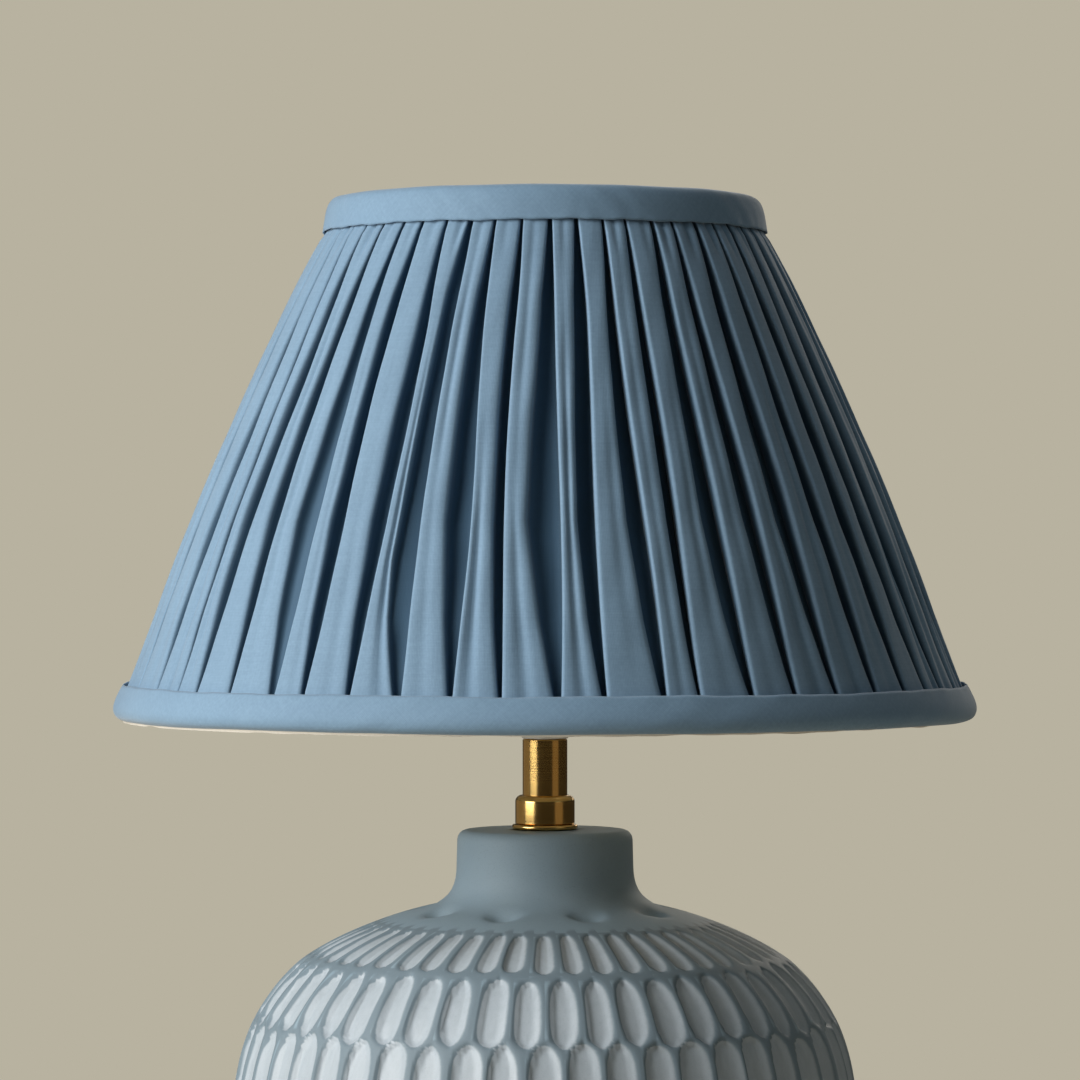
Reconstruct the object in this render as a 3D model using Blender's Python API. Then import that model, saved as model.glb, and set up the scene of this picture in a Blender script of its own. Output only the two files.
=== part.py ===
"""Table lamp with a pleated fabric shade on a round carved-ceramic base.

The model is in metres, +Z up. Its origin is on the lamp's axis, on the surface that it stands on, and -Y is the
front. Every turned piece is a closed outline spun about the axis. Outlines are (radius, height) in millimetres,
which mm() turns to metres.

The lamp comes apart as its real parts do: the base with its neck fixing, the brass stem, the lampholder with its
switch bar, the screw-in bulb, the shade carrier that turns on the lampholder, and the shade that lifts off it.
"""

import math

import bmesh
import bpy
from mathutils import Vector

# ---------------------------------------------------------------- driving dimensions, in millimetres
GAP = 0.3  # between pieces that touch

SEGMENTS_LARGE = 32  # round the shade and the ceramic body
SEGMENTS_SMALL = 24  # round the brass, the lampholder and the bulb
WIRE_SIDES = 6

FELT_THICKNESS = 2.0
FOOT_Z = FELT_THICKNESS + GAP
NECK_TOP_Z = 266.0
NECK_RADIUS = 40.6
BELLY_RADIUS = 144.5
BELLY_BELOW_NECK_TOP = 140.0
BELLY_CURVE_POWER = 2.5
BELLY_RISE = 109.0  # half height of the curve above the belly
FOOT_RADIUS = 78.0
CERAMIC_WALL = 7.0

ROD_RADIUS = 5.0
ROD_BORE = 3.6
STEM_RADIUS = 10.35
STEM_TOP_Z = 308.0
LAMPHOLDER_Z = STEM_TOP_Z + GAP

HEM_Z = 317.7
SHADE_TOP_Z = 557.9
HEM_RADIUS = 200.0
STRUT_TOP = (95.0, 549.5)
STRUT_BOTTOM = (191.5, 325.0)
STRUT_COUNT = 8
STRUT_RADIUS = 1.3
RING_WIRE_RADIUS = 1.6
COVER_CLEARANCE = 2.4  # from a strut's centre line out to the cover
LINING_CLEARANCE = 1.8  # from a strut's centre line in to the lining
LINING_THICKNESS = 1.0
BAND_THICKNESS = 1.0

CARRIER_ARM_RADIUS = 2.0
DUPLEX_ARM_COUNT = 4
DUPLEX_Z = 521.5

SWITCH_Z = 324.5
SWITCH_REST_OFFSET = 2.0  # the bar rests pushed to one side

GLAND_Z = 30.0
GLAND_HOLE_RADIUS = 5.0
GLAND_BORE = 3.6
GLAND_FLANGE_RADIUS = 7.6

# name: (sRGB colour, roughness, metallic)
FINISHES = {
    "ceramic_glaze": ("8A989F", 0.45, 0.0),
    "brass": ("B08A3E", 0.28, 1.0),
    "steel": ("B9BCBE", 0.35, 1.0),
    "white_plastic": ("ECEAE4", 0.4, 0.0),
    "porcelain": ("E8E5DC", 0.3, 0.0),
    "blue_cotton": ("86A5C3", 0.85, 0.0),
    "lining_cotton": ("EFECE4", 0.85, 0.0),
    "grey_felt": ("6B6F73", 0.95, 0.0),
    "fibreboard": ("A98B63", 0.8, 0.0),
    "black_rubber": ("1E1E1F", 0.7, 0.0),
    "gold_flex": ("C9B27A", 0.6, 0.0),
    "live_brown": ("5B3A22", 0.5, 0.0),
    "neutral_blue": ("2B5FA3", 0.5, 0.0),
    "white_wire": ("F1F1EE", 0.4, 0.0),
    "bulb_glass": ("F4F6F5", 0.05, 0.0),
    "filament_yellow": ("E3B54A", 0.5, 0.0),
    "nickel": ("C8C6BF", 0.25, 1.0),
    "black_glass": ("26222B", 0.2, 0.0),
}


# ---------------------------------------------------------------- helpers
def mm(value):
    """Millimetres as metres."""
    return value / 1000


def linear(channel):
    """One sRGB channel, 0 to 1, as linear light."""
    return channel / 12.92 if channel <= 0.04045 else ((channel + 0.055) / 1.055) ** 2.4


def finish(name):
    """The Principled material of that name, made once."""
    found = bpy.data.materials.get(name)
    if found:
        return found
    colour, roughness, metallic = FINISHES[name]
    rgb = [linear(int(colour[i : i + 2], 16) / 255) for i in (0, 2, 4)]
    made = bpy.data.materials.new(name)
    made.use_nodes = True
    shader = made.node_tree.nodes["Principled BSDF"]
    shader.inputs["Base Color"].default_value = (*rgb, 1)
    shader.inputs["Roughness"].default_value = roughness
    shader.inputs["Metallic"].default_value = metallic
    made.diffuse_color = (*rgb, 1)
    return made


def add(name, data, material):
    """An object of that name in the scene, with its material."""
    data.materials.append(finish(material))
    obj = bpy.data.objects.new(name, data)
    bpy.context.scene.collection.objects.link(obj)
    return obj


def mesh_object(name, bm, material):
    """An object from a bmesh, with its faces pointing out and its round faces smooth."""
    bmesh.ops.recalc_face_normals(bm, faces=bm.faces)
    mesh = bpy.data.meshes.new(name)
    bm.to_mesh(mesh)
    bm.free()
    mesh.shade_smooth()
    mesh.set_sharp_from_angle(angle=math.radians(35))
    return add(name, mesh, material)


def turned(name, outline, material, segments=SEGMENTS_SMALL):
    """A piece turned about the Z axis. An outline with both ends on the axis is closed by it; any other is a loop."""
    bm = bmesh.new()
    verts = [bm.verts.new((mm(r), 0, mm(z))) for r, z in outline]
    edges = [bm.edges.new(pair) for pair in zip(verts, verts[1:])]
    if outline[0][0] > 0:
        edges.append(bm.edges.new((verts[-1], verts[0])))
    bmesh.ops.spin(
        bm,
        geom=verts + edges,
        axis=(0, 0, 1),
        cent=(0, 0, 0),
        steps=segments,
        angle=math.tau,
        use_merge=False,
    )
    bmesh.ops.remove_doubles(bm, verts=bm.verts, dist=1e-6)
    return mesh_object(name, bm, material)


def arc(centre, radius, start, end, steps):
    """Points of an arc in the outline's plane, from start to end in degrees."""
    turns = [math.radians(start + (end - start) * i / steps) for i in range(steps + 1)]
    return [(centre[0] + radius * math.cos(t), centre[1] + radius * math.sin(t)) for t in turns]


def bezier(p0, p1, p2, p3, steps):
    """Points of a cubic curve, without its first point."""
    points = []
    for i in range(1, steps + 1):
        t = i / steps
        weights = ((1 - t) ** 3, 3 * t * (1 - t) ** 2, 3 * t * t * (1 - t), t**3)
        points.append(tuple(sum(w * p[k] for w, p in zip(weights, (p0, p1, p2, p3))) for k in (0, 1)))
    return points


def smooth_path(points, per_span):
    """A smooth curve through 3-D points, as points along it (Catmull-Rom)."""
    ends = [2 * points[0] - points[1], *points, 2 * points[-1] - points[-2]]
    path = []
    for a, b, c, d in zip(ends, ends[1:], ends[2:], ends[3:]):
        for i in range(per_span):
            t = i / per_span
            path.append(
                0.5 * (2 * b + (c - a) * t + (2 * a - 5 * b + 4 * c - d) * t * t + (3 * b - a - 3 * c + d) * t**3)
            )
    return [*path, points[-1]]


def wire(name, points, radius, material, sides=WIRE_SIDES):
    """A round wire along points in millimetres, with closed ends."""
    curve = bpy.data.curves.new(name, "CURVE")
    curve.dimensions = "3D"
    curve.bevel_depth = mm(radius)
    curve.bevel_resolution = sides // 2 - 2
    curve.use_fill_caps = True
    spline = curve.splines.new("POLY")
    spline.points.add(len(points) - 1)
    for target, point in zip(spline.points, points):
        target.co = (*(mm(k) for k in point), 1)
    return add(name, curve, material)


def wire_ring(name, radius, z, wire_radius, material):
    """A closed ring of round wire."""
    section = arc((radius, z), wire_radius, 0, 360, WIRE_SIDES)[:-1]
    return turned(name, section, material, SEGMENTS_LARGE)


def tube_outline(inner, outer, low, high):
    """The outline of a plain tube or washer."""
    return [(inner, low), (outer, low), (outer, high), (inner, high)]


def cylinder_cutter(name, radius, length, centre, axis):
    """A hidden cylinder for a Boolean, along X or Y."""
    bm = bmesh.new()
    bmesh.ops.create_cone(
        bm,
        cap_ends=True,
        segments=16,
        radius1=mm(radius),
        radius2=mm(radius),
        depth=mm(length),
    )
    cutter = mesh_object(name, bm, "steel")
    cutter.location = [mm(k) for k in centre]
    cutter.rotation_euler = Vector((0, 0, 1)).rotation_difference(Vector(axis)).to_euler()
    cutter.hide_render = True
    cutter.display_type = "WIRE"
    return cutter


def cut(obj, cutter):
    """Takes the cutter's shape out of a piece."""
    modifier = obj.modifiers.new("cut_" + cutter.name, "BOOLEAN")
    modifier.operation = "DIFFERENCE"
    modifier.solver = "EXACT"
    modifier.object = cutter


# ---------------------------------------------------------------- ceramic base
def belly_curve(depth):
    """The body's outer radius at a depth below the neck's top, below the shoulder."""
    if depth < BELLY_BELOW_NECK_TOP:
        half = BELLY_RISE
    else:
        foot_depth = NECK_TOP_Z - FOOT_Z - BELLY_BELOW_NECK_TOP
        at_foot = (1 - (FOOT_RADIUS / BELLY_RADIUS) ** BELLY_CURVE_POWER) ** (1 / BELLY_CURVE_POWER)
        half = foot_depth / at_foot
    along = abs(BELLY_BELOW_NECK_TOP - depth) / half
    return BELLY_RADIUS * (1 - along**BELLY_CURVE_POWER) ** (1 / BELLY_CURVE_POWER)


def ceramic_outline():
    """Outer and inner outline of the hollow body, from the hole in the neck's top round to it again."""
    corner = 4.5
    hole = ROD_RADIUS + 1
    shoulder_depth = 60.7
    foot_inner = FOOT_RADIUS - 12
    rebate = 3.5  # the base disc's seat
    ceiling = NECK_TOP_Z - 8
    outer = [(hole, NECK_TOP_Z)]
    outer += arc((NECK_RADIUS - corner, NECK_TOP_Z - corner), corner, 90, 0, 2)
    neck_root = (NECK_RADIUS + 0.3, NECK_TOP_Z - 16)
    dome = (57, NECK_TOP_Z - 36.2)
    shoulder = (belly_curve(shoulder_depth), NECK_TOP_Z - shoulder_depth)
    outer.append(neck_root)
    outer += bezier(neck_root, (neck_root[0], NECK_TOP_Z - 28), (45, NECK_TOP_Z - 33.5), dome, 4)
    outer += bezier(dome, (78, NECK_TOP_Z - 41.5), (100, NECK_TOP_Z - 50.5), shoulder, 4)
    for depth in (74, 94, 116, 140, 168, 196, 220, 242):
        outer.append((belly_curve(depth), NECK_TOP_Z - depth))
    outer += [(FOOT_RADIUS, FOOT_Z + 1), (FOOT_RADIUS - 1, FOOT_Z)]
    inner = [
        (foot_inner + rebate, FOOT_Z),
        (foot_inner + rebate, FOOT_Z + rebate),
        (foot_inner, FOOT_Z + rebate),
        (foot_inner, FOOT_Z + 9),
    ]
    for depth in (238, 196, 140, 94):
        inner.append((belly_curve(depth) - CERAMIC_WALL, NECK_TOP_Z - depth))
    inner += [
        (86, NECK_TOP_Z - 57),
        (50, NECK_TOP_Z - 44),
        (34, NECK_TOP_Z - 33),
        (32, ceiling),
        (hole, ceiling),
    ]
    return outer + inner


def build_base():
    """The ceramic body, the disc and felt under it, and the gland at its back."""
    body = turned("ceramic_body", ceramic_outline(), "ceramic_glaze", SEGMENTS_LARGE)
    wall_out = belly_curve(NECK_TOP_Z - GLAND_Z)
    hole = cylinder_cutter("gland_hole", GLAND_HOLE_RADIUS, 40, (0, wall_out - 5, GLAND_Z), (0, 1, 0))
    seat = cylinder_cutter("gland_seat", GLAND_FLANGE_RADIUS + GAP, 40, (0, wall_out + 20 - GAP, GLAND_Z), (0, 1, 0))
    cut(body, hole)
    cut(body, seat)

    disc_radius = FOOT_RADIUS - 12 + 3.5 - GAP
    disc_low = FELT_THICKNESS + GAP
    turned(
        "base_disc",
        [(0, disc_low), (disc_radius, disc_low), (disc_radius, disc_low + 2.9), (0, disc_low + 2.9)],
        "fibreboard",
        SEGMENTS_LARGE,
    )
    felt_radius = FOOT_RADIUS - 1
    turned(
        "felt_pad",
        [(0, 0), (felt_radius - 0.4, 0), (felt_radius, 0.4), (felt_radius, FELT_THICKNESS), (0, FELT_THICKNESS)],
        "grey_felt",
        SEGMENTS_LARGE,
    )
    build_gland(wall_out)


def build_gland(wall_out):
    """The bush that a flex enters through: a flanged tube that lies along Y in the body's back wall."""
    barrel = GLAND_HOLE_RADIUS - GAP
    outline = [
        (GLAND_BORE, -16),
        (barrel, -16),
        (barrel, 0),
        (GLAND_FLANGE_RADIUS, 0),
        (GLAND_FLANGE_RADIUS, 4.2),
        (6.4, 6.4),
        (GLAND_BORE + 0.6, 6.8),
        (GLAND_BORE, 6.2),
    ]
    gland = turned("cord_gland", outline, "black_rubber", 16)
    gland.rotation_euler = (math.radians(-90), 0, 0)
    gland.location = (0, mm(wall_out), mm(GLAND_Z))


# ---------------------------------------------------------------- neck fixing and brass
def build_neck_fixing():
    """The hollow threaded tube with what clamps it under the neck's ceiling, and the lead that it carries."""
    ceiling = NECK_TOP_Z - 8
    turned("threaded_tube", tube_outline(ROD_BORE, ROD_RADIUS, 240, 318.5), "steel", 16)
    turned("rubber_washer", tube_outline(ROD_RADIUS + GAP, 14, ceiling - 2.3, ceiling - GAP), "black_rubber")
    turned("steel_washer", tube_outline(ROD_RADIUS + GAP, 13, ceiling - 3.8, ceiling - 2.6), "steel")
    nut_bore = (ROD_RADIUS + GAP) / math.cos(math.radians(30))  # to the corners of a six-sided bore
    turned("lock_nut", tube_outline(nut_bore, 9.8, ceiling - 9.1, ceiling - 4.1), "steel", 6)

    block_low = FOOT_Z + 2.9 + GAP
    block_high = block_low + 13
    bm = bmesh.new()
    bmesh.ops.create_cube(bm, size=1)
    bmesh.ops.scale(bm, vec=[mm(k) for k in (20, 16, 13)], verts=bm.verts)
    bmesh.ops.translate(bm, vec=[mm(k) for k in (0, 40, block_low + 6.5)], verts=bm.verts)
    bmesh.ops.bevel(bm, geom=bm.edges[:], offset=mm(1), segments=1, affect="EDGES")
    mesh_object("connector_block", bm, "white_plastic")
    route = [
        (0, 40, block_high + GAP),
        (0, 39, block_high + 12),
        (-2, 28, 62),
        (-6, 6, 110),
        (-4, -4, 160),
        (0, -1, 206),
        (0, 0, 232),
        (0, 0, 260),
        (0, 0, 316.5),
    ]
    path = smooth_path([Vector(p) for p in route], 4)
    wire("inner_lead", path, 2.7, "gold_flex", 8)
    for name, side, material in (("core_live", -1, "live_brown"), ("core_neutral", 1, "neutral_blue")):
        core = [(1.3, 316.8), (1.5, 318.8), (4.4, 320.8), (7.4, 322.8), (8.7, 325.5), (8.8, 328.0)]
        wire(name, [(0, side * y, z) for y, z in core], 0.9, material)


def build_brass():
    """The disc, the cup-shaped collar and the stem that stand on the neck."""
    disc_top = NECK_TOP_Z + 2.5
    turned(
        "brass_disc",
        [
            (ROD_RADIUS + GAP, NECK_TOP_Z + GAP),
            (14.7, NECK_TOP_Z + GAP),
            (15.2, NECK_TOP_Z + 0.9),
            (15.2, disc_top - 0.7),
            (14.6, disc_top),
            (ROD_RADIUS + GAP, disc_top),
        ],
        "brass",
    )
    low, high = disc_top + GAP, NECK_TOP_Z + 16
    round_edge = arc((13.75 - 3.0, high - 3.0), 3.0, 0, 90, 3)
    round_inside = arc((12.75 - 2.0, high - 3.0), 2.0, 90, 0, 2)
    collar = [(12.75, low), (13.75, low), *round_edge, (STEM_RADIUS + GAP, high), (STEM_RADIUS + GAP, high - 1)]
    turned("brass_collar", collar + round_inside[1:], "brass")
    turned("brass_stem", tube_outline(STEM_RADIUS - 1, STEM_RADIUS, low, STEM_TOP_Z), "brass")


# ---------------------------------------------------------------- lampholder
def build_lampholder():
    """The white lampholder: cap, outer shell, insert, contacts, terminal screws, switch bar and clamp rings."""
    z = LAMPHOLDER_Z
    shell_low, shell_high = 330.3, 364.0
    entry = ROD_RADIUS + GAP
    cap = turned(
        "lampholder_cap",
        [
            (entry, z),
            (10.3, z),
            (10.75, z + 0.5),
            (10.75, z + 5),
            *arc((12.0, shell_low - 8.3), 7.2, -55, 0, 4),
            (19.2, shell_low - GAP),
            (17.2, shell_low - GAP),
            (17.2, shell_low - 9.5),
            (14.6, z + 11),
            (entry, z + 11),
        ],
        "white_plastic",
    )
    cut(cap, cylinder_cutter("switch_hole", 2.2 + GAP, 60, (0, 0, SWITCH_Z), (1, 0, 0)))
    turned(
        "lampholder_shell",
        [
            (17.4, shell_low),
            (19.5, shell_low),
            (19.5, shell_high - 0.6),
            (18.9, shell_high),
            (15.4, shell_high),
            (14.8, shell_high - 0.6),
            (14.8, 360.6),
            (17.4, 360.6),
        ],
        "white_plastic",
    )
    turned(
        "lampholder_insert",
        [(0, 331.5), (17.0, 331.5), (17.0, 360.2), (14.7, 360.2), (14.7, 336.2), (0, 336.2)],
        "porcelain",
    )
    turned("screw_contact", tube_outline(13.6, 14.3, 336.6, 359.8), "brass")
    turned("centre_contact", [(0, 336.5), (4, 336.5), (4, 337.6), (3.2, 338.0), (0, 338.0)], "brass", 12)
    for name, side in (("terminal_live", -1), ("terminal_neutral", 1)):
        screw = turned(name, [(0, 328.4), (2.0, 328.4), (2.0, 331.2), (0, 331.2)], "brass", 8)
        screw.location = (0, mm(side * 8.8), 0)
    build_switch_bar()
    turned("clamp_ring_lower", ring_nut_outline(339.5, 345.5), "white_plastic")
    turned("clamp_ring_upper", ring_nut_outline(347.6, 353.6), "white_plastic")


def ring_nut_outline(low, high):
    """The outline of a ring nut on the lampholder's shell, with bevelled rims."""
    return [
        (19.8, low),
        (27.2, low),
        (28.0, low + 0.8),
        (28.0, high - 0.8),
        (27.2, high),
        (19.8, high),
    ]


def build_switch_bar():
    """The push-through bar of the switch, along X, with a button at each end."""
    half = 26.0
    outline = [(0, -half)]
    outline += [(2.8, -half), (3.4, -half + 0.6), (3.4, -half + 3), (2.2, -half + 3)]
    outline += [(2.2, half - 3), (3.4, half - 3), (3.4, half - 0.6), (2.8, half), (0, half)]
    bar = turned("switch_bar", outline, "white_plastic", 12)
    bar.rotation_euler = (0, math.radians(90), 0)
    bar.location = (mm(SWITCH_REST_OFFSET), 0, mm(SWITCH_Z))


# ---------------------------------------------------------------- bulb
def build_bulb():
    """A round screw-in filament bulb: contact pip, insulator, screw cap, glass, mount and four filaments."""
    turned("bulb_pip", [(0, 338.4), (2.4, 338.4), (3.0, 339.0), (3.0, 339.8), (0, 339.8)], "nickel", 12)
    turned("bulb_insulator", [(0, 340.1), (4.5, 340.1), (11.5, 342.5), (0, 342.5)], "black_glass")
    cap_low, cap_high = 342.8, 363.5
    turned(
        "bulb_cap",
        [
            (0, cap_low),
            (11.6, cap_low),
            (13.1, cap_low + 1.6),
            (13.1, cap_high),
            (12.4, cap_high),
            (12.4, cap_low + 1.2),
            (0, cap_low + 1.2),
        ],
        "nickel",
    )
    globe, globe_z, wall = 30.0, 412.5, 0.9
    neck = (12.1, 349.0)
    outside = [neck, (12.1, 364.5)]
    outside += bezier(outside[-1], (12.6, 377), (globe, 388), (globe, globe_z), 6)
    outside += arc((0, globe_z), globe, 0, 90, 7)[1:]
    inside = [(0, globe_z + globe - wall)]
    inside += arc((0, globe_z), globe - wall, 90, 0, 7)[1:]
    inside += bezier(inside[-1], (globe - wall, 388), (11.7, 377), (11.2, 364.5), 6)
    inside.append((11.2, 349.0))
    build_glass("bulb_glass", outside + inside)
    turned(
        "bulb_stem",
        [(0, 344.6), (9.5, 344.6), (9.0, 349.0), (3.6, 357.0), (2.6, 372.0), (2.6, 380.0), (0, 382.0)],
        "bulb_glass",
        12,
    )
    for i in range(4):
        turn = math.radians(45 + 90 * i)
        foot, head = 5.5, 11.0
        ends = [
            (foot * math.cos(turn), foot * math.sin(turn), 386.0),
            (head * math.cos(turn), head * math.sin(turn), 424.0),
        ]
        wire(f"bulb_filament_{i + 1}", ends, 0.9, "filament_yellow")


def build_glass(name, outline):
    """A glass shell that is closed at its crown and open at its neck: both walls meet the axis at the crown."""
    crown = next(i for i, (r, _) in enumerate(outline) if abs(r) < 1e-9)
    turned(name, [*outline[crown + 1 :], *outline[: crown + 1]], "bulb_glass", 16)


# ---------------------------------------------------------------- shade carrier
def build_carrier():
    """The brass frame that stands on the lampholder and holds the shade up round the bulb."""
    turned("carrier_base_ring", tube_outline(19.8, 33.0, 345.8, 347.3), "brass")
    for name, side in (("carrier_arm_left", -1), ("carrier_arm_right", 1)):
        shape = [(30.9, 347.6), (31.0, 356), (35, 371), (42, 392), (45.5, 425), (45, 462), (43, 492), (41.9, 512.6)]
        path = smooth_path([Vector((side * r, 0, z)) for r, z in shape], 2)
        wire(name, path, CARRIER_ARM_RADIUS, "brass", 8)
    turned("carrier_top_ring", tube_outline(39.8, 44.0, 513.0, DUPLEX_Z - GAP), "brass", SEGMENTS_LARGE)


# ---------------------------------------------------------------- shade
def strut_radius_at(z):
    """The radius of the struts' centre line at a height."""
    share = (STRUT_TOP[1] - z) / (STRUT_TOP[1] - STRUT_BOTTOM[1])
    return STRUT_TOP[0] + share * (STRUT_BOTTOM[0] - STRUT_TOP[0])


def build_shade_frame():
    """Two rings, the struts, and the ring with its arms that sits on the carrier."""
    wire_ring("shade_top_wire", 96.0, 552.5, RING_WIRE_RADIUS, "white_wire")
    wire_ring("shade_bottom_wire", 194.5, 322.2, RING_WIRE_RADIUS, "white_wire")
    for i in range(STRUT_COUNT):
        turn = math.tau * (i + 0.5) / STRUT_COUNT
        ends = [(r * math.cos(turn), r * math.sin(turn), z) for r, z in (STRUT_BOTTOM, STRUT_TOP)]
        wire(f"shade_strut_{i + 1}", ends, STRUT_RADIUS, "white_wire")
    turned("duplex_ring", tube_outline(37.5, 47.0, DUPLEX_Z, DUPLEX_Z + 2), "white_wire", SEGMENTS_LARGE)
    for i in range(DUPLEX_ARM_COUNT):
        turn = math.tau * (i + 0.5) / DUPLEX_ARM_COUNT
        shape = [(47.5, 522.6), (53, 522.8), (62, 526.5), (76, 538.5), (85, 546.5), (90.0, 548.2)]
        path = smooth_path([Vector((r * math.cos(turn), r * math.sin(turn), z)) for r, z in shape], 2)
        wire(f"duplex_arm_{i + 1}", path, 1.5, "white_wire")


def build_shade_cloth():
    """The pleated cover outside the struts, the lining inside them, and the two bands round the rings."""
    cover_outer = [
        (196.0, 325.2),
        (191.1, 335.8),
        (178.0, 372.7),
        (163.3, 409.6),
        (148.2, 446.6),
        (131.3, 483.6),
        (113.4, 520.9),
        (103.7, 539.5),
        (101.3, 541.3),
        (99.6, 550.0),
    ]
    cover_inner = [(strut_radius_at(z) + COVER_CLEARANCE, z) for z in (550.0, 325.2)]
    turned("pleated_cover", cover_outer + cover_inner, "blue_cotton", SEGMENTS_LARGE)

    low, high = 325.5, 549.0
    lining = [
        (strut_radius_at(low) - LINING_CLEARANCE - LINING_THICKNESS, low),
        (strut_radius_at(low) - LINING_CLEARANCE, low),
        (strut_radius_at(high) - LINING_CLEARANCE, high),
        (strut_radius_at(high) - LINING_CLEARANCE - LINING_THICKNESS, high),
    ]
    turned("shade_lining", lining, "lining_cotton", SEGMENTS_LARGE)

    top = [
        (102.9, 541.9),
        (101.4, 551.5),
        (99.6, 556.2),
        (96.5, SHADE_TOP_Z),
        (92.6, 556.8),
        (90.5, 553.0),
        (90.5, 545.0),
    ]
    turned("top_band", channel_outline(top, BAND_THICKNESS), "blue_cotton", SEGMENTS_LARGE)
    bottom = [
        (186.3, 327.0),
        (189.0, 319.0),
        (193.4, HEM_Z),
        (198.2, 319.0),
        (HEM_RADIUS, 323.0),
        (199.2, 326.2),
        (195.2, 333.7),
    ]
    turned("bottom_band", channel_outline(bottom, BAND_THICKNESS), "blue_cotton", SEGMENTS_LARGE)


def channel_outline(outside, thickness):
    """A closed channel section from its outer line: the line again, a wall's thickness to its left."""
    inside = []
    for i, (r, z) in enumerate(outside):
        before = outside[max(i - 1, 0)]
        after = outside[min(i + 1, len(outside) - 1)]
        along = Vector((after[0] - before[0], after[1] - before[1])).normalized()
        inside.append((r - along.y * thickness, z + along.x * thickness))
    return outside + inside[::-1]


def main():
    """Clears the scene and builds the lamp."""
    for obj in list(bpy.data.objects):
        bpy.data.objects.remove(obj)
    build_base()
    build_neck_fixing()
    build_brass()
    build_lampholder()
    build_bulb()
    build_carrier()
    build_shade_frame()
    build_shade_cloth()


main()
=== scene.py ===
"""Looks of a table lamp: carved ceramic base, turned brass neck, pleated cotton shade, carrier and bulb.

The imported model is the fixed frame. Every piece takes its place and its outer size from that frame. Lengths
in the classes are in millimetres, with Z up and the front towards -Y, and they turn to metres where a mesh is
made.
"""

import logging
import math
from dataclasses import dataclass
from enum import Enum

import bpy
import numpy as np
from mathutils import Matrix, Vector


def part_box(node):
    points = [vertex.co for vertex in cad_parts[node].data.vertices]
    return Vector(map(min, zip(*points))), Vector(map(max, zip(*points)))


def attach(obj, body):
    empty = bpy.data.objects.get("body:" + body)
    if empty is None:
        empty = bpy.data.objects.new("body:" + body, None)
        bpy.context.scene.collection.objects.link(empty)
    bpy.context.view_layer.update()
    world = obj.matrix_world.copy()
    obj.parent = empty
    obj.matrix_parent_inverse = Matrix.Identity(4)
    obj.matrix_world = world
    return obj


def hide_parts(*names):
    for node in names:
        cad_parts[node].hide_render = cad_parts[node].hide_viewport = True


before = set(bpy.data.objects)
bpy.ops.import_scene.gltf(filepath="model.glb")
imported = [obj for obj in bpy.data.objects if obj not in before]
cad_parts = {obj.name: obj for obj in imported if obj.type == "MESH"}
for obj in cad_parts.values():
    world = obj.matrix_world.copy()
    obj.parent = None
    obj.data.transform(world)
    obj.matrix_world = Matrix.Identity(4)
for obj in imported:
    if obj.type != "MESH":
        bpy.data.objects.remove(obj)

LOG = logging.getLogger("lamp")
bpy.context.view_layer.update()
MM = 0.001
SMOOTH_LIMIT = math.radians(38)
WELD = 0.00001  # points nearer than this, in metres, are one
FULL_TURN = 2 * math.pi
FRONT = -math.pi / 2  # the azimuth that faces -Y

Tree = bpy.types.NodeTree
Socket = bpy.types.NodeSocket
Piece = bpy.types.Object
Colour = tuple[float, float, float, float]
Outline = list[tuple[float, float]]
Points = tuple[tuple[float, float], ...]


class Body(Enum):
    """The bodies that pieces ride on."""

    ROOT = "root"
    SWITCH = "switch"
    BULB = "bulb"
    CARRIER = "carrier"
    SHADE = "shade"


class Ends(Enum):
    """How the ends of a turned outline are finished."""

    JOINED = "joined"
    CAPPED = "capped"


# ------------------------------------------------------------------------------------------ colours and nodes


def linear(hex_colour: str) -> Colour:
    """Turns an sRGB colour to linear light.

    Args:
        hex_colour: Six hex digits.

    Returns:
        Red, green and blue, with an alpha of 1.
    """
    channels = (int(hex_colour[i : i + 2], 16) / 255 for i in (0, 2, 4))
    return (*(c / 12.92 if c <= 0.04045 else ((c + 0.055) / 1.055) ** 2.4 for c in channels), 1.0)


WHITE = linear("FFFFFF")
MIDDLE = (0.3, 0.7)  # between these lie nearly all of a noise's values
ONE_STRIPE = FULL_TURN / 20  # a wave texture's scale for one stripe in a metre


class Node(Enum):
    """The kinds of node that the materials and the studio are made of.

    A RANGE takes its value, the two ends that it comes from and the two that it goes to, as inputs 0 to 4.
    A MIX of colours takes its share as input 0 and the colours as 6 and 7.
    """

    NOISE = "ShaderNodeTexNoise"
    WAVE = "ShaderNodeTexWave"
    RANGE = "ShaderNodeMapRange"
    MIX = "ShaderNodeMix"
    MATH = "ShaderNodeMath"
    BUMP = "ShaderNodeBump"
    MAPPING = "ShaderNodeMapping"
    PLACE = "ShaderNodeTexCoord"
    MARK = "ShaderNodeAttribute"
    VECTOR = "ShaderNodeVectorMath"
    SIDE = "ShaderNodeNewGeometry"
    PATH = "ShaderNodeLightPath"
    BACKGROUND = "ShaderNodeBackground"
    BLEND = "ShaderNodeMixShader"


def add_node(
    tree: Tree,
    kind: Node,
    inputs: dict[str | int, object] | None = None,
    out: str | int = 0,
    **settings: object,
) -> Socket:
    """Adds a node with its settings and links.

    Args:
        tree: The node tree to grow.
        kind: The node's kind.
        inputs: For an input's name or number, the output that feeds it or its fixed value.
        out: The name or number of the output to return.
        settings: The node's own properties.

    Returns:
        One output of the new node.
    """
    node = tree.nodes.new(kind.value)
    for name, value in settings.items():
        setattr(node, name, value)
    for socket, source in (inputs or {}).items():
        if isinstance(source, Socket):
            tree.links.new(source, node.inputs[socket])
        else:
            node.inputs[socket].default_value = source
    return node.outputs[out]


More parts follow.
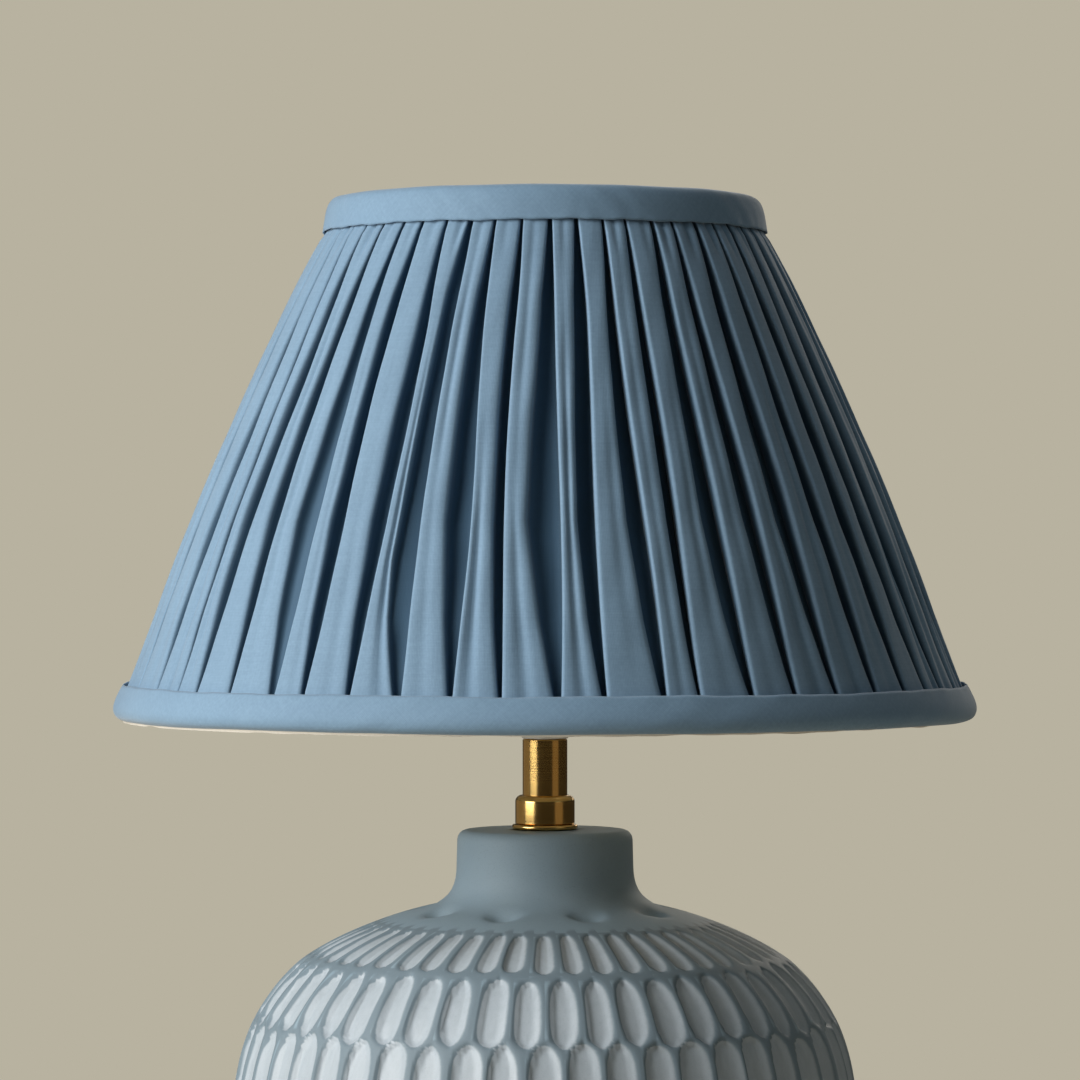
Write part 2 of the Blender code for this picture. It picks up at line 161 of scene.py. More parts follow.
def laid_over(
    tree: Tree,
    under: Socket | Colour,
    over: Socket | Colour,
    pattern: Socket,
    ends: tuple[float, float],
    most: float,
) -> Socket:
    """Lays one colour over another where a pattern rises.

    Args:
        tree: The node tree to grow.
        under: The colour below, as an output or as linear light.
        over: The colour on top, in the same way.
        pattern: What decides where the top colour lies.
        ends: The pattern's value where the top colour starts and where it is strongest.
        most: The top colour's largest share.

    Returns:
        The mixed colour.
    """
    share = add_node(tree, Node.RANGE, {0: pattern, 1: ends[0], 2: ends[1], 3: 0.0, 4: most})
    return add_node(tree, Node.MIX, {0: share, 6: under, 7: over}, 2, data_type="RGBA")


# --------------------------------------------------------------------------------------------------- finishes


@dataclass(frozen=True)
class Finish:
    """What every finish has. A bare one is a moulded or pressed surface with a fine even grain."""

    name: str
    slot: str
    colour: str
    roughness: float = 0.5
    metallic: float = 0.0
    grain_mm: float = 1.2
    grain_depth: float = 0.02
    gloss_spread: float = 0.07
    mottle: float = 0.06

    def material(self) -> bpy.types.Material:
        """Makes the finish's material the first time it is asked for.

        Returns:
            The material.
        """
        found = bpy.data.materials.get(self.name)
        if found:
            return found
        made = bpy.data.materials.new(self.name)
        made.use_nodes = True
        tree = made.node_tree
        shader = tree.nodes["Principled BSDF"]
        shader.inputs["Base Color"].default_value = linear(self.colour)
        shader.inputs["Roughness"].default_value = self.roughness
        shader.inputs["Metallic"].default_value = self.metallic
        for socket, source in self.grow(tree, shader).items():
            tree.links.new(source, shader.inputs[socket])
        return made

    def grow(self, tree: Tree, shader: bpy.types.Node) -> dict[str, Socket]:
        """Grows the finish's own pattern.

        Args:
            tree: The material's tree.
            shader: Its shader, which takes what is the same all over.

        Returns:
            The outputs that feed the shader, by its inputs' names.
        """
        place = add_node(tree, Node.PLACE, out="Object")
        fineness = 1 / (self.grain_mm * MM)
        grain = add_node(tree, Node.NOISE, {"Vector": place, "Scale": fineness, "Detail": 4.0})
        clouds = add_node(tree, Node.NOISE, {"Vector": place, "Scale": 45.0, "Detail": 3.0})
        low, high = max(self.roughness - self.gloss_spread, 0.02), self.roughness + self.gloss_spread
        depth = self.grain_depth * MM
        return {
            "Base Color": laid_over(tree, linear(self.colour), WHITE, clouds, MIDDLE, self.mottle),
            "Roughness": add_node(tree, Node.RANGE, {0: grain, 1: MIDDLE[0], 2: MIDDLE[1], 3: low, 4: high}),
            "Normal": add_node(tree, Node.BUMP, {"Height": grain, "Strength": 1.0, "Distance": depth}),
        }


@dataclass(frozen=True)
class Cotton(Finish):
    """Plain-woven dyed cotton: matt, with a square grain, thicker threads here and there, soft fuzz, and
    painted shade in its folds and between its threads.
    """

    # dark colour of thin threads and specks, also used as the painted shade in the folds and between the
    # threads
    dark_threads_and_painted_shade: str = "234E6A"
    thread_mm: float = 0.7  # the real threads lie 0.35 mm apart; drawn coarser so that the grain shows
    weave_depth: float = 0.05
    slub_depth: float = 0.05
    fuzz: float = 0.28
    faded: float = 0.16
    # where and how strongly the fold attribute paints shade
    fold_shade_ends: tuple[float, float] = (0.17, 0.45)
    fold_shade_share: float = 0.88

    def grow(self, tree: Tree, shader: bpy.types.Node) -> dict[str, Socket]:
        """Weaves threads both ways on the cloth's own map, and paints shade inside the folds and between the
        threads.

        Args:
            tree: The material's tree.
            shader: Its shader.

        Returns:
            The outputs that feed the shader, by its inputs' names.
        """
        shader.inputs["Sheen Weight"].default_value = self.fuzz
        shader.inputs["Sheen Roughness"].default_value = 0.45
        shader.inputs["Specular IOR Level"].default_value = 0.7
        place = add_node(tree, Node.PLACE, out="Object")
        cloth = add_node(tree, Node.PLACE, out="UV")
        waving = {"Vector": cloth, "Scale": ONE_STRIPE / (self.thread_mm * MM)}
        waving |= {"Distortion": 1.5, "Detail": 2.0, "Detail Scale": 0.7}
        weft, warp = (add_node(tree, Node.WAVE, waving, "Fac", bands_direction=way) for way in ("X", "Y"))
        weave = add_node(tree, Node.MATH, {0: weft, 1: warp}, operation="MULTIPLY")
        thick = []
        for per_metre in ((1100.0, 45.0, 1.0), (45.0, 1100.0, 1.0)):
            drawn = add_node(tree, Node.MAPPING, {"Vector": cloth, "Scale": per_metre})
            thick.append(add_node(tree, Node.NOISE, {"Vector": drawn, "Scale": 1.0, "Detail": 3.0}))
        slubs = add_node(tree, Node.MATH, {0: thick[0], 1: thick[1]}, operation="ADD")
        dye = add_node(tree, Node.NOISE, {"Vector": place, "Scale": 16.0, "Detail": 5.0})
        specks = add_node(tree, Node.NOISE, {"Vector": place, "Scale": 700.0, "Detail": 2.0})
        fold = add_node(tree, Node.MARK, out="Fac", attribute_name="fold")
        worn = add_node(tree, Node.RANGE, {0: dye, 1: MIDDLE[0], 2: MIDDLE[1], 3: 0.0, 4: self.faded})
        fading = {0: worn, 6: linear(self.colour), 7: WHITE}
        tone = add_node(tree, Node.MIX, fading, 2, data_type="RGBA", blend_type="SOFT_LIGHT")
        dark_threads_and_painted_shade = linear(self.dark_threads_and_painted_shade)
        tone = laid_over(tree, tone, dark_threads_and_painted_shade, slubs, (1.2, 0.8), 0.09)
        tone = laid_over(tree, tone, dark_threads_and_painted_shade, specks, (0.65, 0.35), 0.10)
        # painted shade in the gaps between the threads
        tone = laid_over(tree, tone, dark_threads_and_painted_shade, weave, (0.6, 0.0), 0.10)
        # painted shade: the deeper a point lies in its pleat, the more of the dark colour it takes
        tone = laid_over(tree, tone, dark_threads_and_painted_shade, fold, self.fold_shade_ends, self.fold_shade_share)
        even = {"Height": weave, "Strength": 0.6, "Distance": self.weave_depth * MM}
        raised = add_node(tree, Node.BUMP, even)
        uneven = {"Height": slubs, "Normal": raised, "Strength": 0.5, "Distance": self.slub_depth * MM}
        return {"Base Color": tone, "Normal": add_node(tree, Node.BUMP, uneven)}


@dataclass(frozen=True)
class Glaze(Finish):
    """Matt blue-grey slip, cut through by a gouge: the cuts show the pale clay under a thin satin glaze."""

    cut: str = "AFBAC3"
    rubbed: str = "6C7C86"
    bloom: str = "98A9B0"
    pinhole: str = "66757E"
    streak: str = "9BA8B0"
    iron: str = "84919A"
    cut_roughness: float = 0.42
    raggedness: float = 0.08
    lump_depth: float = 0.07
    pit_depth: float = 0.03

    def grow(self, tree: Tree, shader: bpy.types.Node) -> dict[str, Socket]:
        """Colours the ridges and the cuts, with fine specks, pin-holes and a cloudy glaze.

        Args:
            tree: The material's tree.
            shader: Its shader.

        Returns:
            The outputs that feed the shader, by its inputs' names.
        """
        shader.inputs["Specular IOR Level"].default_value = 0.4
        place = add_node(tree, Node.PLACE, out="Object")
        carve = add_node(tree, Node.MARK, out="Fac", attribute_name="carve")
        ragged = add_node(tree, Node.NOISE, {"Vector": place, "Scale": 260.0, "Detail": 3.0})
        sway = self.raggedness
        waver = add_node(tree, Node.RANGE, {0: ragged, 1: MIDDLE[0], 2: MIDDLE[1], 3: -sway, 4: sway})
        edge = add_node(tree, Node.MATH, {0: carve, 1: waver}, operation="ADD")
        limits = {0: edge, 1: 0.0, 2: 1.1, 3: 0.0, 4: 1.0}
        inside = add_node(tree, Node.RANGE, limits, interpolation_type="SMOOTHSTEP")
        clouds = add_node(tree, Node.NOISE, {"Vector": place, "Scale": 28.0, "Detail": 5.0})
        specks = add_node(tree, Node.NOISE, {"Vector": place, "Scale": 1500.0, "Detail": 2.0})
        drawn = add_node(tree, Node.MAPPING, {"Vector": place, "Scale": (420.0, 420.0, 60.0)})
        streaks = add_node(tree, Node.NOISE, {"Vector": drawn, "Scale": 1.0, "Detail": 4.0})
        limits = {0: carve, 1: -3.9, 2: -1.6, 3: 0.0, 4: 0.75}
        worn = add_node(tree, Node.RANGE, limits, interpolation_type="SMOOTHSTEP")
        ridge = laid_over(tree, linear(self.colour), linear(self.bloom), clouds, MIDDLE, 0.3)
        ridge = add_node(tree, Node.MIX, {0: worn, 6: ridge, 7: linear(self.rubbed)}, 2, data_type="RGBA")
        ridge = laid_over(tree, ridge, linear(self.pinhole), specks, (0.55, 0.75), 0.25)
        cut_face = laid_over(tree, linear(self.cut), linear(self.streak), streaks, MIDDLE, 0.35)
        cut_face = laid_over(tree, cut_face, linear(self.iron), specks, (0.55, 0.75), 0.22)
        slick = {0: inside, 1: 0.0, 2: 1.0, 3: self.roughness, 4: self.cut_roughness}
        gloss = add_node(tree, Node.RANGE, slick)
        cloudy = add_node(tree, Node.RANGE, {0: clouds, 1: MIDDLE[0], 2: MIDDLE[1], 3: -0.05, 4: 0.05})
        lumps = add_node(tree, Node.NOISE, {"Vector": place, "Scale": 420.0, "Detail": 4.0})
        thrown = {"Height": lumps, "Strength": 0.6, "Distance": self.lump_depth * MM}
        lumpy = add_node(tree, Node.BUMP, thrown)
        pitted = {"Height": specks, "Normal": lumpy, "Strength": 0.5, "Distance": self.pit_depth * MM}
        return {
            "Base Color": add_node(tree, Node.MIX, {0: inside, 6: ridge, 7: cut_face}, 2, data_type="RGBA"),
            "Roughness": add_node(tree, Node.MATH, {0: gloss, 1: cloudy}, operation="ADD"),
            "Normal": add_node(tree, Node.BUMP, pitted),
        }


@dataclass(frozen=True)
class TurnedMetal(Finish):
    """Metal finished on a lathe: a satin gloss with fine rings round the axis, and a faint tarnish."""

    ring_mm: float = 0.5
    tarnish: str = "A37B36"

    def grow(self, tree: Tree, shader: bpy.types.Node) -> dict[str, Socket]:
        """Rules fine rings along Z and lets the tarnish cloud the gloss.

        Args:
            tree: The material's tree.
            shader: Its shader.

        Returns:
            The outputs that feed the shader, by its inputs' names.
        """
        place = add_node(tree, Node.PLACE, out="Object")
        stretch = (14.0, 14.0, 1 / (self.ring_mm * MM))
        drawn = add_node(tree, Node.MAPPING, {"Vector": place, "Scale": stretch})
        rings = add_node(tree, Node.NOISE, {"Vector": drawn, "Scale": 1.0, "Detail": 2.0})
        clouds = add_node(tree, Node.NOISE, {"Vector": place, "Scale": 70.0, "Detail": 4.0})
        low, high = max(self.roughness - 0.05, 0.03), self.roughness + 0.04
        gloss = add_node(tree, Node.RANGE, {0: rings, 1: MIDDLE[0], 2: MIDDLE[1], 3: low, 4: high})
        dull = add_node(tree, Node.RANGE, {0: clouds, 1: 0.35, 2: 0.7, 3: 0.0, 4: 0.04})
        metal, tarnish = linear(self.colour), linear(self.tarnish)
        return {
            "Base Color": laid_over(tree, metal, tarnish, clouds, (0.4, 0.75), 0.25),
            "Roughness": add_node(tree, Node.MATH, {0: gloss, 1: dull}, operation="ADD"),
            "Normal": add_node(tree, Node.BUMP, {"Height": rings, "Strength": 0.08, "Distance": 0.001 * MM}),
        }


@dataclass(frozen=True)
class ClearGlass(Finish):
    """Blown soda glass, thin and clear, with a faint waviness."""

    def grow(self, tree: Tree, shader: bpy.types.Node) -> dict[str, Socket]:
        """Makes the shader clear and the surface faintly wavy.

        Args:
            tree: The material's tree.
            shader: Its shader.

        Returns:
            The output that feeds the shader's normal.
        """
        shader.inputs["Transmission Weight"].default_value = 1.0
        shader.inputs["IOR"].default_value = 1.5
        place = add_node(tree, Node.PLACE, out="Object")
        swell = add_node(tree, Node.NOISE, {"Vector": place, "Scale": 60.0, "Detail": 2.0})
        wavy = {"Height": swell, "Strength": 0.3, "Distance": 0.15 * MM}
        return {"Normal": add_node(tree, Node.BUMP, wavy)}


@dataclass(frozen=True)
class Felt(Finish):
    """Pressed wool felt: tangled short fibres, quite matt, with a soft halo."""

    fibre: str = "8B8D8C"

    def grow(self, tree: Tree, shader: bpy.types.Node) -> dict[str, Socket]:
        """Tangles fibres, drawn about 1 mm wide so that they show.

        Args:
            tree: The material's tree.
            shader: Its shader.

        Returns:
            The outputs that feed the shader, by its inputs' names.
        """
        shader.inputs["Sheen Weight"].default_value = 0.3
        place = add_node(tree, Node.PLACE, out="Object")
        fibres = add_node(tree, Node.NOISE, {"Vector": place, "Scale": 900.0, "Detail": 6.0})
        return {
            "Base Color": laid_over(tree, linear(self.colour), linear(self.fibre), fibres, (0.35, 0.65), 1.0),
            "Normal": add_node(tree, Node.BUMP, {"Height": fibres, "Strength": 0.8, "Distance": 0.5 * MM}),
        }


@dataclass(frozen=True)
class Braid(Finish):
    """Braided rayon over a lead: two sets of bundles that cross on the slant."""

    bundle_mm: float = 1.2
    shadow: str = "7A5A22"

    def grow(self, tree: Tree, shader: bpy.types.Node) -> dict[str, Socket]:
        """Crosses two slanting sets of bundles.

        Args:
            tree: The material's tree.
            shader: Its shader.

        Returns:
            The outputs that feed the shader, by its inputs' names.
        """
        place = add_node(tree, Node.PLACE, out="Object")
        bundles = []
        for slant in (0.8, -0.8):
            turned = add_node(tree, Node.MAPPING, {"Vector": place, "Rotation": (0.0, slant, slant)})
            waving = {"Vector": turned, "Scale": ONE_STRIPE / (self.bundle_mm * MM)}
            bundles.append(add_node(tree, Node.WAVE, waving, "Fac"))
        crossing = add_node(tree, Node.MATH, {0: bundles[0], 1: bundles[1]}, operation="MAXIMUM")
        colours = {0: crossing, 6: linear(self.shadow), 7: linear(self.colour)}
        return {
            "Base Color": add_node(tree, Node.MIX, colours, 2, data_type="RGBA"),
            "Normal": add_node(tree, Node.BUMP, {"Height": crossing, "Strength": 0.7, "Distance": 0.3 * MM}),
        }


# Piece-dyed plain cotton: matt mid blue, with shade painted deep blue where it folds away.
BLUE_COTTON = Cotton("piece_dyed_blue_cotton", "blue_cotton", "7898B3", 0.8)
# Bleached cotton lawn: near white, smooth, lets the weave show faintly.
LINING_COTTON = Cotton(
    "bleached_cotton_lawn", "lining_cotton", "E9E4D8", 0.9, dark_threads_and_painted_shade="B9B2A2", weave_depth=0.04
)
# Slip-coated stoneware, cut with a gouge and satin-glazed: dull blue-grey ridges and pale slick cuts.
CERAMIC = Glaze("satin_glazed_carved_stoneware", "ceramic_glaze", "879DAC", 0.6)
# Brass turned on a lathe and lacquered: a warm satin gloss with fine rings.
BRASS = TurnedMetal("satin_turned_brass", "brass", "E0BB74", 0.17, 1.0)
# Zinc-plated steel: a cool soft gloss with a cloudy plating.
STEEL = TurnedMetal("zinc_plated_steel", "steel", "B9BCBD", 0.32, 1.0, tarnish="8C9092")
# Nickel-plated pressed brass: bright, pale and a little warm.
NICKEL = TurnedMetal("nickel_plated_cap", "nickel", "C9C5BC", 0.22, 1.0, tarnish="A09A8E")
# Moulded heat-resistant plastic: white, half matt, with a fine moulded grain.
WHITE_PLASTIC = Finish("moulded_white_thermoset", "white_plastic", "EAE8E2", 0.38)
# Glazed electrical porcelain: white, hard gloss, slightly wavy.
PORCELAIN = Finish("glazed_porcelain", "porcelain", "F0EDE6", 0.16, grain_mm=4.0)
# Powder-coated steel wire: white, with a fine orange-peel texture.
WHITE_WIRE = Finish("powder_coated_wire", "white_wire", "E4E2DC", 0.45, grain_mm=0.8, grain_depth=0.05)
# Moulded rubber: near black, dull.
RUBBER = Finish("moulded_black_rubber", "black_rubber", "1E1E1F", 0.62, mottle=0.02)
# Wet-pressed hardboard: brown, flecked with wood fibre.
HARDBOARD = Finish(
    "pressed_hardboard", "fibreboard", "6B4C32", 0.75, grain_mm=1.5, grain_depth=0.1, mottle=0.15
)
# Black vitreous glass round the bulb's pip: a deep wet gloss.
BLACK_GLASS = Finish("black_vitreous_glass", "black_glass", "101012", 0.08, mottle=0.01)
# Extruded PVC cores in the wiring colours: smooth and a little waxy.
BROWN_CORE = Finish("brown_pvc_core", "live_brown", "5A3420", 0.4)
BLUE_CORE = Finish("blue_pvc_core", "neutral_blue", "2B5FA8", 0.4)
# LED filament coated with phosphor: matt yellow and slightly rough.
PHOSPHOR = Finish("phosphor_filament", "filament_yellow", "E0B43A", 0.7, grain_mm=0.5, grain_depth=0.06)
# Wool felt, undyed grey.
GREY_FELT = Felt("pressed_wool_felt", "grey_felt", "5E6060", 0.95)
# Old-gold rayon braid on the lead inside the stem.
GOLD_BRAID = Braid("old_gold_rayon_braid", "gold_flex", "B08C42", 0.6)
# Clear blown glass of the bulb.
GLASS = ClearGlass("clear_blown_glass", "bulb_glass", "FFFFFF", 0.02)

FINISHES: tuple[Finish, ...] = (
    BLUE_COTTON, LINING_COTTON, CERAMIC, BRASS, STEEL, NICKEL, WHITE_PLASTIC, PORCELAIN, WHITE_WIRE, RUBBER,
    HARDBOARD, BLACK_GLASS, BROWN_CORE, BLUE_CORE, PHOSPHOR, GREY_FELT, GOLD_BRAID, GLASS,
)


# -------------------------------------------------------------------------------------------- shaping helpers


def span(node: str) -> tuple[Vector, Vector]:
    """Returns a CAD node's lowest and highest corners in millimetres."""
    low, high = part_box(node)
    return Vector(low) / MM, Vector(high) / MM


def soften(corners: Outline, radius: float, steps: int = 4, looped: bool = True) -> Outline:
    """Rounds an outline's corners.

    Args:
        corners: The outline's corners.
        radius: How far from a corner its rounding starts.
        steps: How many edges each rounding has.
        looped: Whether the last corner joins the first.

    Returns:
        The outline with its corners rounded.
    """
    points: Outline = []
    most = 0.48  # of an edge, so that the roundings at its two ends stay apart
    for index, corner in enumerate(corners):
        if not looped and index in (0, len(corners) - 1):
            points.append(corner)
            continue
        here = Vector(corner)
        before = Vector(corners[index - 1]) - here
        after = Vector(corners[(index + 1) % len(corners)]) - here
        start = here + before.normalized() * min(radius, before.length * most)
        end = here + after.normalized() * min(radius, after.length * most)
        for step in range(steps + 1):
            share = step / steps
            point = start.lerp(here, share).lerp(here.lerp(end, share), share)
            points.append((point.x, point.y))
    return points


def arc(centre: tuple[float, float], radius: float, start: float, end: float, steps: int) -> Outline:
    """Returns points of an arc from one angle to another, in degrees."""
    angles = np.radians(np.linspace(start, end, steps + 1))
    return [(centre[0] + radius * math.cos(a), centre[1] + radius * math.sin(a)) for a in angles]


def bezier(corners: Outline, steps: int) -> Outline:
    """Draws a cubic curve.

    Args:
        corners: Its four control points.
        steps: How many edges it gets.

    Returns:
        The points along it.
    """
    share = np.linspace(0, 1, steps + 1)[:, None]
    rest = 1 - share
    start, leaving, arriving, end = (np.array(corner) for corner in corners)
    curve = start * rest**3 + 3 * leaving * share * rest**2 + 3 * arriving * share**2 * rest + end * share**3
    return [tuple(point) for point in curve]


def turn(name: str, outline: Outline, ends: Ends = Ends.JOINED, segments: int = 96) -> Piece:
    """Turns an outline round the Z axis, from a circle that is extruded and resized step by step.

    Args:
        name: The piece's name.
        outline: Radius and height of each ring.
        ends: How the first and last rings are finished.
        segments: How many faces go round.

    Returns:
        The piece, with its place in its mesh.
    """
    bpy.ops.object.select_all(action="DESELECT")
    radius, height = outline[0]
    bpy.ops.mesh.primitive_circle_add(
        vertices=segments, radius=radius * MM, location=(0, 0, height * MM), enter_editmode=True
    )
    for next_radius, next_height in outline[1:]:
        rise = (0, 0, (next_height - height) * MM)
        bpy.ops.mesh.extrude_edges_move(TRANSFORM_OT_translate={"value": rise})
        scale = next_radius / radius
        bpy.ops.transform.resize(value=(scale, scale, 1), center_override=(0, 0, next_height * MM))
        radius, height = next_radius, next_height
    bpy.ops.mesh.select_all(action="SELECT")
    bpy.ops.mesh.remove_doubles(threshold=WELD)
    if ends is Ends.JOINED:
        bpy.ops.mesh.select_all(action="DESELECT")
        bpy.ops.mesh.select_non_manifold()
        bpy.ops.mesh.bridge_edge_loops()
    if ends is Ends.CAPPED:
        bpy.ops.mesh.select_all(action="SELECT")
        bpy.ops.mesh.fill_holes(sides=0)
    bpy.ops.mesh.select_all(action="SELECT")
    bpy.ops.mesh.normals_make_consistent(inside=False)
    bpy.ops.object.mode_set(mode="OBJECT")
    piece = bpy.context.object
    piece.name = name
    return finished(piece)


def finished(piece: Piece) -> Piece:
    """Applies a piece's place and size to its mesh, and smooths it up to its sharp edges.

    Args:
        piece: The piece.

    Returns:
        The same piece.
    """
    bpy.ops.object.select_all(action="DESELECT")
    piece.select_set(True)
    bpy.context.view_layer.objects.active = piece
    bpy.ops.object.transform_apply(location=True, rotation=True, scale=True)
    bpy.ops.object.shade_smooth_by_angle(angle=SMOOTH_LIMIT)
    return piece


def bend(name: str, path: list[tuple[float, float, float]], radius: float) -> Piece:
    """Bends round wire along a path and closes its ends.

    Args:
        name: The piece's name.
        path: The points that the wire's middle passes through, in millimetres.
        radius: The wire's radius in millimetres.

    Returns:
        The wire as a mesh.
    """
    curve = bpy.data.curves.new(name, "CURVE")
    curve.dimensions = "3D"
    curve.bevel_depth = radius * MM
    curve.bevel_resolution = 3
    curve.resolution_u = 8
    curve.use_fill_caps = True
    spline = curve.splines.new("BEZIER")
    spline.bezier_points.add(len(path) - 1)
    for point, place in zip(spline.bezier_points, path):
        point.co = Vector(place) * MM
        point.handle_left_type = "AUTO"
        point.handle_right_type = "AUTO"
    piece = bpy.data.objects.new(name, curve)
    bpy.context.collection.objects.link(piece)
    bpy.ops.object.select_all(action="DESELECT")
    piece.select_set(True)
    bpy.context.view_layer.objects.active = piece
    bpy.ops.object.convert(target="MESH")
    bpy.ops.object.mode_set(mode="EDIT")
    bpy.ops.mesh.select_all(action="SELECT")
    bpy.ops.mesh.remove_doubles(threshold=WELD)
    bpy.ops.mesh.normals_make_consistent(inside=False)
    bpy.ops.object.mode_set(mode="OBJECT")
    return finished(bpy.context.object)


def cut(piece: Piece, cutter: Piece) -> None:
    """Cuts one piece's shape out of another, and removes the cutter.

    Args:
        piece: The piece that is cut.
        cutter: The shape that is taken out of it.
    """
    modifier = piece.modifiers.new("cut", "BOOLEAN")
    modifier.object = cutter
    modifier.operation = "DIFFERENCE"
    modifier.solver = "EXACT"
    bpy.context.view_layer.objects.active = piece
    bpy.ops.object.modifier_apply(modifier=modifier.name)
    bpy.data.objects.remove(cutter)


def weave_grid(
    name: str, points: np.ndarray, attributes: dict[str, np.ndarray] | None = None, loop: bool = False
) -> Piece:
    """Makes a mesh from rows of points that close on themselves round the axis.

    Args:
        name: The piece's name.
        points: Rows by columns by XYZ, in millimetres. Columns run counter-clockwise and rows run down.
        attributes: Values at each vertex, as rows by columns.
        loop: Whether the last row joins the first.

    Returns:
        The piece.
    """
    rows, columns, _ = points.shape
    index = np.arange(rows * columns).reshape(rows, columns)
    upper = index if loop else index[:-1]
    lower = np.roll(index, -1, axis=0)[: len(upper)]
    faces = np.stack([upper, lower, np.roll(lower, -1, axis=1), np.roll(upper, -1, axis=1)], axis=-1)
    mesh = bpy.data.meshes.new(name)
    mesh.from_pydata((points.reshape(-1, 3) * MM).tolist(), [], faces.reshape(-1, 4).tolist())
    for label, values in (attributes or {}).items():
        layer = mesh.attributes.new(label, "FLOAT", "POINT")
        layer.data.foreach_set("value", values.astype(np.float32).ravel())
    mesh.shade_smooth()
    piece = bpy.data.objects.new(name, mesh)
    bpy.context.collection.objects.link(piece)
    return piece


def map_cloth(piece: Piece, across: np.ndarray, down: np.ndarray) -> None:
    """Gives cloth its own map in metres, so that the weave keeps its real size.

    Args:
        piece: A piece from weave_grid.
        across: For rows by columns + 1, the distance along the weft in millimetres.
        down: For rows by columns + 1, the distance along the warp in millimetres.
    """
    flat = np.stack([across, down], axis=-1) * MM
    corners = np.stack([flat[:-1, :-1], flat[1:, :-1], flat[1:, 1:], flat[:-1, 1:]], axis=2)
    layer = piece.data.uv_layers.new(name="cloth")
    layer.data.foreach_set("uv", corners.astype(np.float32).ravel())


def walked(outline: np.ndarray) -> np.ndarray:
    """Returns the distance along an outline at each of its points."""
    return np.concatenate([[0], np.cumsum(np.hypot(*np.diff(outline, axis=0).T))])


def around(rows: int, columns: int) -> np.ndarray:
    """Returns the azimuths of a grid that goes once round the axis."""
    return np.broadcast_to(np.linspace(0, FULL_TURN, columns, endpoint=False), (rows, columns))


def on_axis(radius: np.ndarray, angle: np.ndarray, height: np.ndarray) -> np.ndarray:
    """Returns the XYZ of points that are given by radius, azimuth and height."""
    return np.stack(np.broadcast_arrays(radius * np.cos(angle), radius * np.sin(angle), height), axis=-1)


def smoothstep(low: float, high: np.ndarray | float, value: np.ndarray) -> np.ndarray:
    """Rises smoothly from 0 at low to 1 at high."""
    share = np.clip((value - low) / (high - low), 0, 1)
    return share * share * (3 - 2 * share)


def waves(angle: np.ndarray, counts: list[int], rng: np.random.Generator) -> np.ndarray:
    """Adds up waves round the axis to a smooth uneven curve of about unit height.

    Args:
        angle: Where the curve is wanted.
        counts: How many times each wave goes up and down in a turn.
        rng: What draws each wave's size and place.

    Returns:
        The curve's height at each angle.
    """
    total = np.zeros_like(angle)
    for count in counts:
        total += rng.uniform(0.5, 1.0) * np.sin(count * angle + rng.uniform(0, FULL_TURN))
    return total / math.sqrt(len(counts))


def settle(piece: Piece, body: Body, finish: Finish, *nodes: str) -> Piece:
    """Dresses a piece, puts it on its body, and lets it stand for CAD nodes.

    Args:
        piece: The piece.
        body: The body that it rides on.
        finish: Its finish, which also gives its slot.
        nodes: The CAD nodes that it replaces.

    Returns:
        The same piece.
    """
    piece.data.materials.clear()
    piece.data.materials.append(finish.material())
    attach(piece, body.value)
    if nodes:
        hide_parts(*nodes)
    LOG.info("%s on %s in %s", piece.name, body.value, finish.name)
    return piece


# ------------------------------------------------------------------------------------------- the ceramic base


@dataclass(frozen=True)
class CutStyle:
    """How the cuts of one row are drawn: by an even hand or a freer one, with square or pointed ends."""

    ridge: float
    square: float
    point: float
    unevenness: float


@dataclass(frozen=True)
class Hand:
    """How much the carver's hand varies from cut to cut, each as a usual difference."""

    aside: float = 0.035
    slide: float = 0.8
    lean: float = 0.012
    width: float = 0.05
    stretch: float = 0.03
    square: float = 0.9
    point: float = 0.35


def inside_cut(
    sideways: np.ndarray,
    along: np.ndarray,
    half_width: np.ndarray,
    reach: np.ndarray,
    square: np.ndarray,
    point: np.ndarray,
) -> np.ndarray:
    """Measures how far points lie inside a cut's outline, which closes to a point at each end.

    Args:
        sideways: Distance from the cut's middle line.
        along: Distance from its middle, along that line.
        half_width: Half the cut's width.
        reach: Half its length.
        square: How straight its sides run before they close.
        point: How blunt its ends are.

    Returns:
        The distance in millimetres, below 0 outside the cut.
    """
    ratio = np.clip(np.abs(along) / reach, 0, 0.9999)
    narrowing = (1 - ratio**square) ** (1 / point)
    closing = square / point * ratio ** (square - 1) * (1 - ratio**square) ** (1 / point - 1)
    slope = closing / reach * half_width
    inward = (half_width * narrowing - np.abs(sideways)) / np.sqrt(1 + slope**2)
    beyond = np.abs(along) > reach
    return np.where(beyond, reach - np.abs(along) - 0.01, inward)


